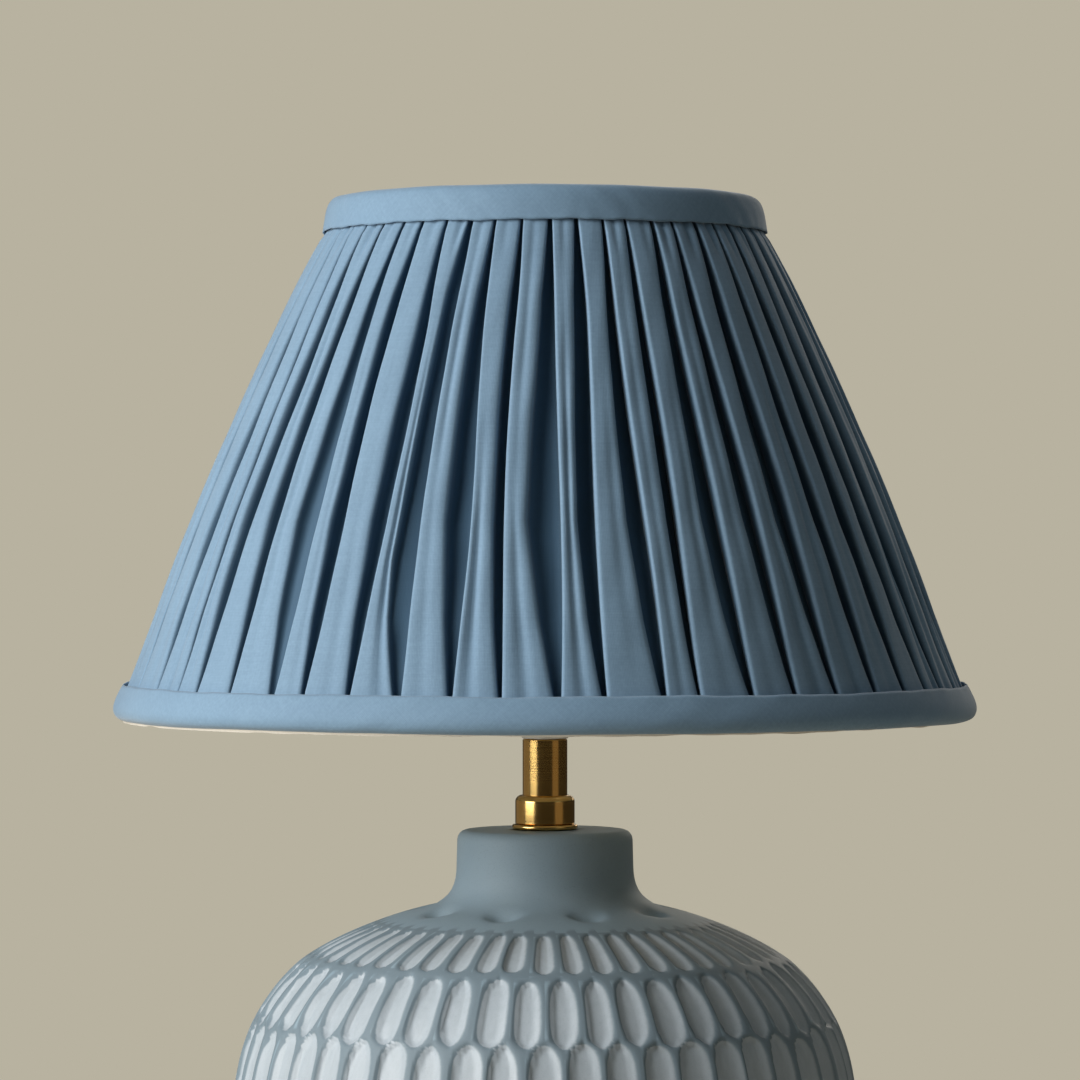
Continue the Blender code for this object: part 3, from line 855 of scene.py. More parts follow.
@dataclass
class CarvedBase:
    """The stoneware body with its gouged rows of cuts, its base disc, its felt and the gland for the lead."""

    height: float = 266.0
    belly_radius: float = 144.5
    belly_depth: float = 140.0
    upper_half: float = 109.0
    foot_radius: float = 78.0
    foot_height: float = 3.3
    foot_recess: float = 2.3
    wall: float = 7.0
    power: float = 2.5
    neck_radius: float = 40.6
    neck_root: tuple[float, float] = (40.9, 250.0)
    crook: tuple[float, float] = (57.0, 229.8)
    shoulder_depth: float = 60.7
    corner: float = 4.5
    hole_radius: float = 6.0
    cuts: int = 50
    pitch_shares: tuple[float, ...] = (0.0, 0.05, 0.12, 0.25, 0.38, 0.45, 0.5, 0.55, 0.62, 0.75, 0.88, 0.95)
    belly_rows: int = 115
    neck_rows: int = 19
    first_style: CutStyle = CutStyle(ridge=2.5, square=5.5, point=2.1, unevenness=0.3)
    style: CutStyle = CutStyle(ridge=2.2, square=3.7, point=1.75, unevenness=1.0)
    hand: Hand = Hand()
    first_radius: float = 77.0
    first_length: float = 34.0
    second_radius: float = 110.5
    cut_length: float = 37.0
    least_length: float = 12.0
    row_step: float = 35.2
    rim: float = 7.0
    cut_depth: float = 2.0
    usual_half_width: float = 5.5
    soft_bank: float = 3.9
    steep_bank: float = 1.0
    bank_lean: float = 0.25
    floor_tilt: float = 0.34
    floor_hollow: float = 0.1
    far_from_cut: float = -4.0
    dimples: int = 9
    dimple_radius: float = 55.5
    dimple_size: tuple[float, float] = (7.2, 5.2)
    dimple_depth: float = 3.6
    wobble: float = 0.22
    gland_height: float = 30.0
    gland_seat: tuple[float, float] = (7.9, 116.45)
    gland_hole: float = 5.0
    gland_bore: float = 3.6
    gland_barrel: float = 4.7
    boss_rise: float = 0.3
    boss_reach: tuple[float, float] = (9.5, 13.0)

    def belly(self, depth: np.ndarray) -> np.ndarray:
        """Works out the belly's curve: one half above its widest place and a longer one below.

        Args:
            depth: Depths below the neck's top.

        Returns:
            The outer radius at each depth.
        """
        foot_share = (1 - (self.foot_radius / self.belly_radius) ** self.power) ** (1 / self.power)
        lower_half = (self.height - self.foot_recess - self.belly_depth) / foot_share
        half = np.where(depth < self.belly_depth, self.upper_half, lower_half)
        share = np.abs(self.belly_depth - depth) / half
        return self.belly_radius * (1 - share**self.power) ** (1 / self.power)

    def outside(self) -> np.ndarray:
        """Draws the outer outline, dense, from the hole in the neck's top down to the foot.

        Returns:
            Radius and height of each point.
        """
        top = self.height
        depth = np.linspace(self.shoulder_depth, top - self.foot_height, 240)
        radius = self.belly(depth)
        shoulder = (float(radius[0]), top - self.shoulder_depth)
        points: Outline = [(self.hole_radius, top)]
        points += arc((self.neck_radius - self.corner, top - self.corner), self.corner, 90, 0, 6)
        points += bezier([self.neck_root, (40.9, 238.0), (45.0, 232.5), self.crook], 20)
        points += bezier([self.crook, (78.0, 224.5), (100.0, 215.5), shoulder], 24)[1:]
        points += [(float(r), top - float(d)) for r, d in zip(radius[1:], depth[1:])]
        points.append((self.foot_radius - 1, self.foot_height - 1))
        return np.array(points)

    def inside(self) -> np.ndarray:
        """Draws the inner outline, coarse, from the base disc's seat up to the hole.

        Returns:
            Radius and height of each point.
        """
        depth = np.linspace(self.height - 15, 75, 7)
        wall = self.belly(depth) - self.wall
        points: Outline = [(69.5, self.foot_recess), (69.5, 5.8), (66.0, 5.8), (66.0, 11.3)]
        points += [(float(r), self.height - float(d)) for r, d in zip(wall, depth)]
        points += [(86.0, 209.0), (50.0, 222.0), (34.0, 233.0), (32.0, 258.0), (self.hole_radius, 258.0)]
        return np.array(points)

    def rows_of_cuts(self, lengths: np.ndarray, radii: np.ndarray) -> Outline:
        """Places the rows of cuts down the outer outline.

        Args:
            lengths: Distance along the outline of each of its points.
            radii: Radius of each of its points.

        Returns:
            The middle and the half length of each row, as distances along the outline.
        """
        first = float(lengths[np.argmax(radii > self.first_radius)])
        rows = [(first + self.first_length / 2, self.first_length / 2)]
        start = float(lengths[np.argmax(radii > self.second_radius)])
        end = float(lengths[-1]) - self.rim
        while start + self.least_length < end:
            stop = min(start + self.cut_length, end)
            rows.append(((start + stop) / 2, (stop - start) / 2))
            start += self.row_step
        return rows

    def carve(
        self, angle: np.ndarray, length: np.ndarray, radius: np.ndarray
    ) -> tuple[np.ndarray, np.ndarray]:
        """Works out how deep each point is cut, and how far inside a cut it lies.

        Args:
            angle: Azimuth of each point, as rows by columns.
            length: Distance along the outer outline of each row.
            radius: Radius of each row.

        Returns:
            The depth in millimetres, and the place in the cut: below 0 on a ridge, above 1 well inside.
        """
        rng = np.random.default_rng(7)
        hand, pitch = self.hand, FULL_TURN / self.cuts
        depth = np.zeros_like(angle)
        place = np.full_like(angle, self.far_from_cut)
        dense = self.outside()
        for number, (middle, half) in enumerate(self.rows_of_cuts(walked(dense), dense[:, 0])):
            style = self.style if number else self.first_style
            turns = (angle - FRONT) / pitch - 0.5 * (number % 2)
            slot = np.floor(turns + 0.5).astype(int)
            drawn = rng.normal(0, 1, (7, self.cuts))
            aside, slid, lean, width, stretch, squarer, blunter = drawn[:, slot % self.cuts]
            sideways = (turns - slot + hand.aside * aside) * pitch * radius[:, None]
            along = length[:, None] - middle - hand.slide * style.unevenness * slid
            sideways = sideways + along * hand.lean * lean
            half_width = (pitch * radius[:, None] - style.ridge) / 2
            half_width = half_width * (1 + hand.width * np.clip(width, -2, 1))
            reach = half * (1 + hand.stretch * style.unevenness * stretch)
            square = style.square + hand.square * np.clip(squarer, -1, 1.5)
            point = style.point + hand.point * np.clip(blunter, -1.2, 1.5)
            inward = inside_cut(sideways, along, half_width, reach, square, point)
            leaning = sideways + self.bank_lean * along * half_width / reach
            leftness = smoothstep(-0.35, 0.35, -leaning / half_width)
            bank = self.soft_bank - (self.soft_bank - self.steep_bank) * leftness
            across = sideways / half_width
            floor = 1 - self.floor_tilt * (across + 1) / 2 + self.floor_hollow * (1 - across**2)
            size = self.cut_depth * np.clip(half_width / self.usual_half_width, 0.7, 1.15)
            depth = np.maximum(depth, size * floor * smoothstep(0, bank, inward))
            place = np.maximum(place, np.clip(inward / (0.4 * bank + 0.25), self.far_from_cut, 4))
        return depth, place

    def spread_rows(self, start: float, end: float, count: int, cuts: Outline) -> np.ndarray:
        """Spreads mesh rows down the outline, closer together where one row of cuts meets the next.

        Args:
            start: Distance along the outline where the rows begin.
            end: Distance where they stop.
            count: How many rows there are.
            cuts: The middle and half length of each row of cuts.

        Returns:
            The distances, without the first.
        """
        fine = np.linspace(start, end, 2000)
        meets = [middle + side * half for middle, half in cuts for side in (-1, 1)]
        nearest = np.min([np.abs(fine - meet) for meet in meets], axis=0)
        density = 1 / (1.5 + 2.4 * smoothstep(4.0, 9.0, nearest))
        filled = np.concatenate([[0], np.cumsum((density[1:] + density[:-1]) / 2)])
        return np.interp(np.linspace(0, filled[-1], count + 1)[1:], filled, fine)

    def mesh_rows(self, dense: np.ndarray, lengths: np.ndarray) -> np.ndarray:
        """Places the mesh's rows: a few on the neck, close ones round its corner and many through the cuts.

        Args:
            dense: The outer outline.
            lengths: Distance along it of each of its points.

        Returns:
            The rows' distances along the outline.
        """
        carved_from = float(lengths[np.argmax(dense[:, 0] > self.first_radius - 4)])
        end = float(lengths[-1])
        top = np.array([0, 14, 27, 30.1])
        corner = np.linspace(31, 40, 7)
        neck = np.linspace(43, carved_from, self.neck_rows)
        cuts = self.rows_of_cuts(lengths, dense[:, 0])
        belly = self.spread_rows(carved_from, end - 1.5, self.belly_rows, cuts)
        return np.concatenate([top, corner, neck, belly, [end - 0.7, end]])

    def press(self, angle: np.ndarray, length: np.ndarray, radius: np.ndarray, crook: float) -> np.ndarray:
        """Presses the thumb marks round the shoulder.

        Args:
            angle: Azimuth of each point, as rows by columns.
            length: Distance along the outer outline of each row.
            radius: Radius of each row.
            crook: Distance along the outline where the marks lie.

        Returns:
            The depth of the marks at each point.
        """
        spacing = FULL_TURN / self.dimples
        nearest = (np.floor((angle - FRONT) / spacing) + 0.5) * spacing + FRONT
        across = (angle - nearest) * radius[:, None] / self.dimple_size[0]
        along = (length[:, None] - crook) / self.dimple_size[1]
        lean = along + 0.25 * across**2
        return self.dimple_depth * np.exp(-((across**2 + lean**2) ** 1.3))

    def sway(self, angle: np.ndarray, length: np.ndarray) -> np.ndarray:
        """Makes the wall a little uneven, as a thrown and carved one is, and true again at its ends.

        Args:
            angle: Azimuth of each point, as rows by columns.
            length: Distance along the outer outline of each row.

        Returns:
            How far each point stands out.
        """
        rng = np.random.default_rng(11)
        uneven = self.wobble * waves(angle, [2, 3, 5, 9], rng) * np.sin(length / 37.0)[:, None]
        free = smoothstep(42, 70, length) * smoothstep(length[-1], length[-1] - 20, length)
        return uneven * free[:, None]

    def build_body(self) -> None:
        """Builds the carved body with its inner wall, and a flat boss at the back that the gland sits in."""
        dense = self.outside()
        lengths = walked(dense)
        length = self.mesh_rows(dense, lengths)
        radius = np.interp(length, lengths, dense[:, 0])
        height = np.interp(length, lengths, dense[:, 1])
        tangent = np.stack([np.gradient(radius), np.gradient(height)])
        tangent /= np.hypot(*tangent)
        shares = np.array(self.pitch_shares)
        azimuth = ((np.arange(self.cuts)[:, None] + shares) * FULL_TURN / self.cuts).ravel() + FRONT
        angle = np.broadcast_to(azimuth, (len(length), len(azimuth)))
        depth, place = self.carve(angle, length, radius)
        crook = float(lengths[np.argmax(dense[:, 0] > self.dimple_radius)])
        depth = depth + self.press(angle, length, radius, crook) - self.sway(angle, length)
        from_gland = np.hypot(radius[:, None] * np.cos(angle), height[:, None] - self.gland_height)
        seated = (from_gland < self.boss_reach[1]) & (np.sin(angle) > 0)
        level = np.where(seated, smoothstep(*self.boss_reach, from_gland), 1.0)
        depth = depth * level
        outer_r = radius[:, None] + depth * tangent[1][:, None]
        outer_z = height[:, None] - depth * tangent[0][:, None]
        boss = (self.gland_seat[1] + self.boss_rise) / np.maximum(np.sin(angle), 0.5)
        outer_r = np.where(seated, boss + (outer_r - boss) * level, outer_r)
        inner = self.inside()
        ring_r = np.concatenate([outer_r, np.repeat(inner[:, :1], len(azimuth), 1)])
        ring_z = np.concatenate([outer_z, np.repeat(inner[:, 1:], len(azimuth), 1)])
        mark = self.far_from_cut + (place - self.far_from_cut) * level
        mark = np.concatenate([mark, np.full((len(inner), len(azimuth)), self.far_from_cut)])
        body = weave_grid("carved_body", on_axis(ring_r, azimuth, ring_z), {"carve": mark}, loop=True)
        self.drill(body)
        settle(body, Body.ROOT, CERAMIC, "ceramic_body")

    def drill(self, body: Piece) -> None:
        """Cuts the gland's flat seat and its hole through the wall.

        Args:
            body: The carved body.
        """
        seat_radius, seat = self.gland_seat
        outline = [(self.gland_hole, -30.0), (self.gland_hole, 0.0), (seat_radius, 0.0), (seat_radius, 30.0)]
        cutter = turn("gland_cutter", outline, Ends.CAPPED, 48)
        cutter.rotation_euler = (-math.pi / 2, 0, 0)
        cutter.location = (0, seat * MM, self.gland_height * MM)
        cut(body, finished(cutter))

    def build_underside(self) -> None:
        """Builds the hardboard disc and the felt with its soft cut edge."""
        low, high = span("base_disc")
        disc = soften([(3.0, low.z), (high.x, low.z), (high.x, high.z), (3.0, high.z)], 0.5)
        settle(turn("hardboard_disc", disc, segments=128), Body.ROOT, HARDBOARD, "base_disc")
        low, high = span("felt_pad")
        felt = soften([(0.4, low.z), (high.x, low.z), (high.x, high.z), (0.4, high.z)], 0.7)
        settle(turn("felt_pad_cut", felt, segments=128), Body.ROOT, GREY_FELT, "felt_pad")

    def build_gland(self) -> None:
        """Builds the rubber gland: a barrel in the hole and a domed flange on its seat."""
        low, high = span("cord_gland")
        seat = self.gland_seat[1]
        tail, face = low.y - seat, high.y - seat
        flange = (high.x - low.x) / 2
        bore, barrel = self.gland_bore, self.gland_barrel
        outline = [
            (bore, tail), (barrel, tail), (barrel, 0.0), (flange, 0.0),
            (flange, face * 0.5), (flange - 0.8, face), (bore + 1.0, face), (bore, face - 1.0),
        ]
        gland = turn("rubber_gland", soften(outline, 0.6, 3), segments=64)
        gland.rotation_euler = (-math.pi / 2, 0, 0)
        gland.location = (0, seat * MM, self.gland_height * MM)
        settle(finished(gland), Body.ROOT, RUBBER, "cord_gland")

    def build(self) -> None:
        """Builds every piece of the base."""
        self.build_body()
        self.build_underside()
        self.build_gland()


# --------------------------------------------------------------------------------------------- the brass neck


@dataclass
class BrassNeck:
    """The turned disc, collar and stem between the ceramic and the lampholder."""

    bore: float = 5.4
    stem_bore: float = 9.2
    stem_room: float = 0.15
    stem_edge: float = 0.5
    shoulder: float = 3.0
    collar_edge: float = 0.35

    def build_disc(self) -> None:
        """Builds the thin disc that covers the hole in the ceramic."""
        low, high = span("brass_disc")
        disc = [(self.bore, low.z), (high.x, low.z), (high.x, high.z), (self.bore, high.z)]
        settle(turn("turned_disc", soften(disc, 1.0, 5)), Body.ROOT, BRASS, "brass_disc")

    def build_collar(self) -> None:
        """Builds the collar, with a round shoulder that runs in to the stem."""
        low, high = span("brass_collar")
        inner = span("brass_stem")[1].x + self.stem_room
        edge, shoulder = self.collar_edge, self.shoulder
        collar: Outline = [(high.x - 1, low.z), (high.x - edge, low.z), (high.x, low.z + edge)]
        collar += arc((high.x - shoulder, high.z - shoulder), shoulder, 0, 82, 10)
        collar += [(inner, high.z), (inner, high.z - 1.0), (high.x - shoulder, high.z - 1.0)]
        collar += [(high.x - 1, high.z - shoulder)]
        settle(turn("turned_collar", collar), Body.ROOT, BRASS, "brass_collar")

    def build_stem(self) -> None:
        """Builds the tube that the lampholder stands on."""
        low, high = span("brass_stem")
        outer, edge = high.x, self.stem_edge
        stem: Outline = [(self.stem_bore, low.z), (outer - 0.2, low.z), (outer, low.z + 0.2)]
        stem += [(outer, low.z + share * (high.z - low.z)) for share in (0.35, 0.7)]
        stem += [(outer, high.z - edge), (outer - edge, high.z), (self.stem_bore, high.z)]
        settle(turn("turned_stem", stem), Body.ROOT, BRASS, "brass_stem")

    def build(self) -> None:
        """Builds the three turned pieces."""
        self.build_disc()
        self.build_collar()
        self.build_stem()


# -------------------------------------------------------------------------------------- lampholder and switch


@dataclass
class Lampholder:
    """The moulded lampholder with its two ring nuts and the push bar of its switch."""

    cap_base: float = 10.75
    cap_wall: float = 2.0
    slot_height: float = 324.5
    slot_radius: float = 2.6
    shell_bore: float = 17.4
    thread_start: float = 6.0
    thread_step: float = 2.6
    thread_depth: float = 0.35
    nut_bore: float = 19.85
    nut_lip: float = 0.9
    ribs: int = 40
    rib_share: float = 0.012
    bar_radius: float = 2.2
    button_length: float = 3.0

    def build_cap(self) -> None:
        """Builds the flared cap on the stem, with a slot through it for the switch's bar."""
        low, high = span("lampholder_cap")
        foot, rim = self.cap_base, high.x
        inner = foot - self.cap_wall
        outline: Outline = [(inner, low.z), (foot, low.z), (foot + 0.15, low.z + 5.0)]
        leaving, arriving = (foot + 1.0, 317.5), (rim - 1.5, 318.5)
        outline += bezier([(foot + 0.4, low.z + 6.5), leaving, arriving, (rim - 0.3, 322.0)], 8)
        outline += [(rim, 323.0), (rim, high.z - 0.6), (rim - 0.6, high.z), (rim - 2.2, high.z)]
        outline += [(rim - 2.2, 323.5), (inner, 316.0)]
        cap = turn("holder_cap", outline)
        slot = turn("slot_cutter", [(self.slot_radius, -40.0), (self.slot_radius, 40.0)], Ends.CAPPED, 32)
        slot.rotation_euler = (0, math.pi / 2, 0)
        slot.location = (0, 0, self.slot_height * MM)
        cut(cap, finished(slot))
        settle(finished(cap), Body.ROOT, WHITE_PLASTIC, "lampholder_cap")

    def build_shell(self) -> None:
        """Builds the shell with the thread that its ring nuts run on."""
        low, high = span("lampholder_shell")
        rim, bore = high.x, self.shell_bore
        outline: Outline = [(bore, low.z), (rim - 0.5, low.z), (rim, low.z + 0.5)]
        height = low.z + self.thread_start
        while height < high.z - 2.0:
            outline += [(rim, height), (rim - self.thread_depth, height + self.thread_step / 2)]
            height += self.thread_step
        outline += [(rim - 0.6, high.z - 0.4), (rim - 1.0, high.z), (bore, high.z)]
        settle(turn("holder_shell", outline), Body.ROOT, WHITE_PLASTIC, "lampholder_shell")

    def build_ring(self, node: str) -> None:
        """Builds a ring nut: a threaded sleeve with a wide rim that is ribbed for grip.

        Args:
            node: The CAD node of the nut.
        """
        low, high = span(node)
        bore, rim, face = self.nut_bore, high.x, high.z - self.nut_lip
        outline = [
            (bore, low.z), (rim - 0.6, low.z), (rim, low.z + 0.5), (rim, high.z - 0.5), (rim - 0.6, high.z),
            (rim - 3.6, high.z), (rim - 4.2, face), (bore, face),
        ]
        nut = turn(f"{node}_ribbed", outline, segments=self.ribs * 4)
        for vertex in nut.data.vertices:
            if math.hypot(vertex.co.x, vertex.co.y) > (rim - 0.9) * MM:
                turned = math.atan2(vertex.co.y, vertex.co.x) * self.ribs
                shrink = 1 - self.rib_share * (0.5 - 0.5 * math.cos(turned))
                vertex.co.x *= shrink
                vertex.co.y *= shrink
        settle(nut, Body.ROOT, WHITE_PLASTIC, node)

    def build_switch(self) -> None:
        """Builds the push bar, with a button pressed on each end."""
        low, high = span("switch_bar")
        button, bar, long = (high.z - low.z) / 2, self.bar_radius, self.button_length
        outline = [
            (0.3, low.x), (button, low.x), (button, low.x + long), (bar, low.x + long + 0.4),
            (bar, high.x - long - 0.4), (button, high.x - long), (button, high.x), (0.3, high.x),
        ]
        piece = turn("push_bar", soften(outline, 0.5, 3, looped=False), Ends.CAPPED, 32)
        piece.rotation_euler = (0, math.pi / 2, 0)
        piece.location = (0, 0, (low.z + high.z) / 2 * MM)
        settle(finished(piece), Body.SWITCH, WHITE_PLASTIC, "switch_bar")

    def build(self) -> None:
        """Builds every piece of the lampholder."""
        self.build_cap()
        self.build_shell()
        self.build_ring("clamp_ring_lower")
        self.build_ring("clamp_ring_upper")
        self.build_switch()


# --------------------------------------------------------------------------------------------------- the bulb


@dataclass
class Bulb:
    """The globe bulb: blown glass on a nickel-plated screw cap."""

    globe_height: float = 412.5
    globe_start: float = -52.0
    globe_end: float = 89.2
    neck_radius: float = 12.1
    neck_height: float = 364.5
    wall: float = 0.9
    cap_bore: float = 9.5
    thread_depth: float = 0.75
    thread_step: float = 3.6

    def glass_outline(self, offset: float) -> Outline:
        """Draws the glass from its neck to its crown.

        Args:
            offset: How far the outline lies inside the glass's outer face.

        Returns:
            Radius and height of each point.
        """
        low, high = span("bulb_glass")
        globe = arc((0.0, self.globe_height), high.x - offset, self.globe_start, self.globe_end, 26)
        joint = globe[0]
        neck = self.neck_radius - offset
        points: Outline = [(neck, low.z + (0.01 if offset else 0.0)), (neck, self.neck_height)]
        leaving, arriving = (neck, self.neck_height + 9.5), (joint[0] - 7.0, joint[1] - 8.6)
        points += bezier([points[1], leaving, arriving, joint], 12)[1:]
        return points + globe[1:]

    def build_cap(self) -> None:
        """Builds the screw cap with its rolled thread."""
        low, high = span("bulb_cap")
        crest = high.x
        root = crest - self.thread_depth
        outline: Outline = [(self.cap_bore, low.z), (crest - 2.2, low.z), (root - 0.2, low.z + 1.4)]
        height = low.z + 2.2
        while height < high.z - 5.0:
            outline += [(root, height), (crest - 0.15, height + 0.9)]
            outline += [(crest, height + 1.5), (crest - 0.15, height + 2.1)]
            height += self.thread_step
        outline += [(root + 0.2, high.z - 2.6), (crest - 0.2, high.z - 0.7), (crest, high.z)]
        outline += [(crest - 0.5, high.z), (crest - 1.6, high.z - 3.0)]
        outline += [(root - 1.0, low.z + 2.0), (self.cap_bore, low.z + 0.5)]
        settle(turn("screw_cap", outline, segments=72), Body.BULB, NICKEL, "bulb_cap")

    def build(self) -> None:
        """Builds the glass with its wall, then the cap."""
        glass = turn("blown_globe", self.glass_outline(0.0) + self.glass_outline(self.wall)[::-1])
        settle(glass, Body.BULB, GLASS, "bulb_glass")
        self.build_cap()


# ------------------------------------------------------------------------------------------ the shade carrier


@dataclass
class Carrier:
    """The harp that lifts the shade: a ring on the lampholder, two bent arms and a gallery ring."""

    ring_bore: float = 19.85
    gallery_bore: float = 39.8
    gallery_lip: tuple[float, float] = (1.4, 2.4)
    arm_radius: float = 2.0
    half_path: Points = (
        (30.9, 347.6), (30.95, 351.0), (31.1, 357.0), (35.0, 371.0), (42.0, 392.0),
        (45.5, 425.0), (45.0, 462.0), (43.0, 492.0), (41.9, 512.6),
    )

    def build(self) -> None:
        """Builds the rings and the arms."""
        low, high = span("carrier_base_ring")
        bore = self.ring_bore
        flat = soften([(bore, low.z), (high.x, low.z), (high.x, high.z), (bore, high.z)], 0.35, 3)
        settle(turn("pressed_base_ring", flat), Body.CARRIER, BRASS, "carrier_base_ring")
        for side, node in ((-1, "carrier_arm_left"), (1, "carrier_arm_right")):
            path = [(side * x, 0.0, z) for x, z in self.half_path]
            settle(bend(f"{node}_bent", path, self.arm_radius), Body.CARRIER, BRASS, node)
        low, high = span("carrier_top_ring")
        bore, body = self.gallery_bore, high.x - self.gallery_lip[0]
        outline = [
            (bore, low.z), (body, low.z), (body, high.z - self.gallery_lip[1]), (high.x, high.z - 2.0),
            (high.x, high.z), (bore, high.z),
        ]
        settle(turn("gallery_ring", soften(outline, 0.5, 3)), Body.CARRIER, BRASS, "carrier_top_ring")


# -------------------------------------------------------------------------------------------------- the shade


@dataclass
class ShadeFrame:
    """The powder-coated duplex ring and its four arms, which hold the shade on the carrier."""

    bore: float = 37.5
    arms: int = 4
    arm_radius: float = 1.5
    arm_path: Points = (
        (46.2, 522.6), (53.0, 522.8), (62.0, 526.5), (76.0, 538.5), (85.0, 546.5), (89.4, 548.0),
    )

    def build(self) -> None:
        """Builds the ring and the arms."""
        low, high = span("duplex_ring")
        outline = soften([(self.bore, low.z), (high.x, low.z), (high.x, high.z), (self.bore, high.z)], 0.5, 3)
        settle(turn("coated_duplex_ring", outline), Body.SHADE, WHITE_WIRE, "duplex_ring")
        for number in range(self.arms):
            azimuth = (number + 0.5) * FULL_TURN / self.arms
            path = [(r * math.cos(azimuth), r * math.sin(azimuth), z) for r, z in self.arm_path]
            name = f"duplex_arm_{number + 1}"
            settle(bend(f"{name}_bent", path, self.arm_radius), Body.SHADE, WHITE_WIRE, name)


@dataclass
class PleatedCover:
    """The gathered cotton cover: pleats that lie to one side, open towards the hem and close at the band."""

    pleats: int = 54
    rows: int = 58
    turned_by: float = 0.03
    envelope: Points = (
        (196.0, 325.2), (191.1, 335.8), (178.0, 372.7), (163.3, 409.6),
        (148.2, 446.6), (131.3, 483.6), (113.4, 520.9), (103.7, 539.0),
    )
    collar: Points = ((103.7, 539.0), (101.4, 541.2), (100.9, 544.0), (99.6, 550.0))
    row_heights: Points = ((0.0, 550.0), (0.05, 542.5), (0.09, 537.5), (0.93, 337.0), (1.0, 325.4))
    free_heights: tuple[float, float] = (541.5, 330.0)
    struts: int = 8
    strut: Points = ((325.0, 191.5), (549.5, 95.0))
    strut_reach: float = 4.5
    clearance: float = 1.75
    lining_gap: float = 2.7
    opening: Points = (
        (0.0, 0.14), (0.06, 0.22), (0.16, 0.34), (0.42, 0.45),
        (0.63, 0.49), (0.83, 0.34), (0.95, 0.18), (1.0, 0.10),
    )
    misplaced: float = 0.05
    place_drift: float = 0.095
    gap_spread: float = 0.2
    gap_drift: float = 0.16
    gap_limits: tuple[float, float] = (0.05, 0.62)
    edge_section: Points = (
        (0.13, 1.0), (0.07, 0.97), (0.02, 0.86), (-0.010, 0.6),
        (-0.018, 0.32), (-0.010, 0.14), (0.014, 0.03), (0.055, 0.0),
    )
    roll_section: Points = ((0.0, 0.3), (0.03, 0.62), (0.08, 0.86), (0.24, 0.97), (0.65, 1.0))
    roll_share: float = 0.03
    roll_start: float = 0.022
    crease_width: float = 0.17
    face_points: int = 10
    face_shade: float = 0.2
    outermost: int = 6
    flat_size: tuple[float, float] = (1.75, 0.26)

    def outer_radius(self, height: np.ndarray) -> np.ndarray:
        """Works out the radius that the pleats' outer faces reach.

        Args:
            height: Heights of the cover's rows.

        Returns:
            The radius at each height.
        """
        radii, heights = np.array(self.envelope).T
        smooth = np.polyval(np.polyfit(heights - 430, radii, 5), height - 430)
        tuck_radii, tuck_heights = np.array(self.collar).T
        tuck = np.interp(height, tuck_heights, tuck_radii)
        return np.where(height > tuck_heights[0], tuck, smooth)

    def section(
        self, gap: np.ndarray, crease: np.ndarray, place: np.ndarray
    ) -> tuple[np.ndarray, np.ndarray]:
        """Draws one pleat's section: its fold edge, its face and the roll down into the next recess.

        Args:
            gap: Share of the pitch that the open recess takes, for every row and pleat.
            crease: Height of the soft fold on the pleat's face, as a share of the depth.
            place: Where on the face that fold lies.

        Returns:
            The shares of the pitch and the shares of the depth, each with the points on the last axis.
        """
        edge_across, edge_down = np.array(self.edge_section).T
        roll_across, roll_down = np.array(self.roll_section).T
        face = np.linspace(0.09, 1.0, self.face_points)
        start = edge_across[-1]
        face_end = 1 - gap[..., None] - self.roll_share
        face_across = start + (face_end - start) * face
        roll_across = face_end + self.roll_start + roll_across * (gap[..., None] + self.roll_share)
        soft = crease[..., None] * np.exp(-(((face - place[..., None]) / self.crease_width) ** 2))
        face_down = 0.005 + 0.05 * face**2 + 0.09 * face**8 + soft
        edge_across = np.broadcast_to(edge_across, (*gap.shape, len(edge_across)))
        edge_down = np.broadcast_to(edge_down, edge_across.shape)
        roll_down = np.broadcast_to(roll_down, roll_across.shape)
        across = np.concatenate([edge_across, face_across, roll_across], axis=-1)
        return across, np.concatenate([edge_down, face_down, roll_down], axis=-1)

    def drift(self, rng: np.random.Generator, share: np.ndarray, size: float) -> np.ndarray:
        """Lets each pleat drift slowly and unevenly on its way down.

        Args:
            rng: What draws each pleat's drift.
            share: How far down the cover each row lies.
            size: How large the drift is.

        Returns:
            The drift, as rows by pleats.
        """
        phases = rng.uniform(0, FULL_TURN, (3, self.pleats))
        paces = rng.uniform(0.6, 1.6, (3, self.pleats)) * np.array([1.5, 3.5, 7.0])[:, None]
        swings = zip((1.0, 0.5, 0.22), paces, phases)
        return size * sum(swing * np.sin(pace * share[:, None] + phase) for swing, pace, phase in swings)

    def lay_pleats(
        self, rng: np.random.Generator, share: np.ndarray
    ) -> tuple[np.ndarray, np.ndarray, np.ndarray]:
        """Lays the pleats side by side, each a little off its place and open by its own share.

        Args:
            rng: What draws each pleat's unevenness.
            share: How far down the cover each row lies.

        Returns:
            Each pleat's fold edge and its pitch, both in pleats, and the open share of that pitch.
        """
        ease = smoothstep(0, 0.25, share)[:, None]
        edge = np.arange(self.pleats) + rng.normal(0, self.misplaced, self.pleats)
        edge = edge + ease * self.drift(rng, share, self.place_drift)
        following = np.concatenate([edge[:, 1:], edge[:, :1] + self.pleats], axis=1)
        opening = np.interp(share, *np.array(self.opening).T)[:, None]
        own = np.clip(rng.normal(1.0, self.gap_spread, self.pleats), 0.6, 1.4)
        gap = opening * own * (1 + ease * self.drift(rng, share, self.gap_drift))
        return edge, following - edge, np.clip(gap, *self.gap_limits)

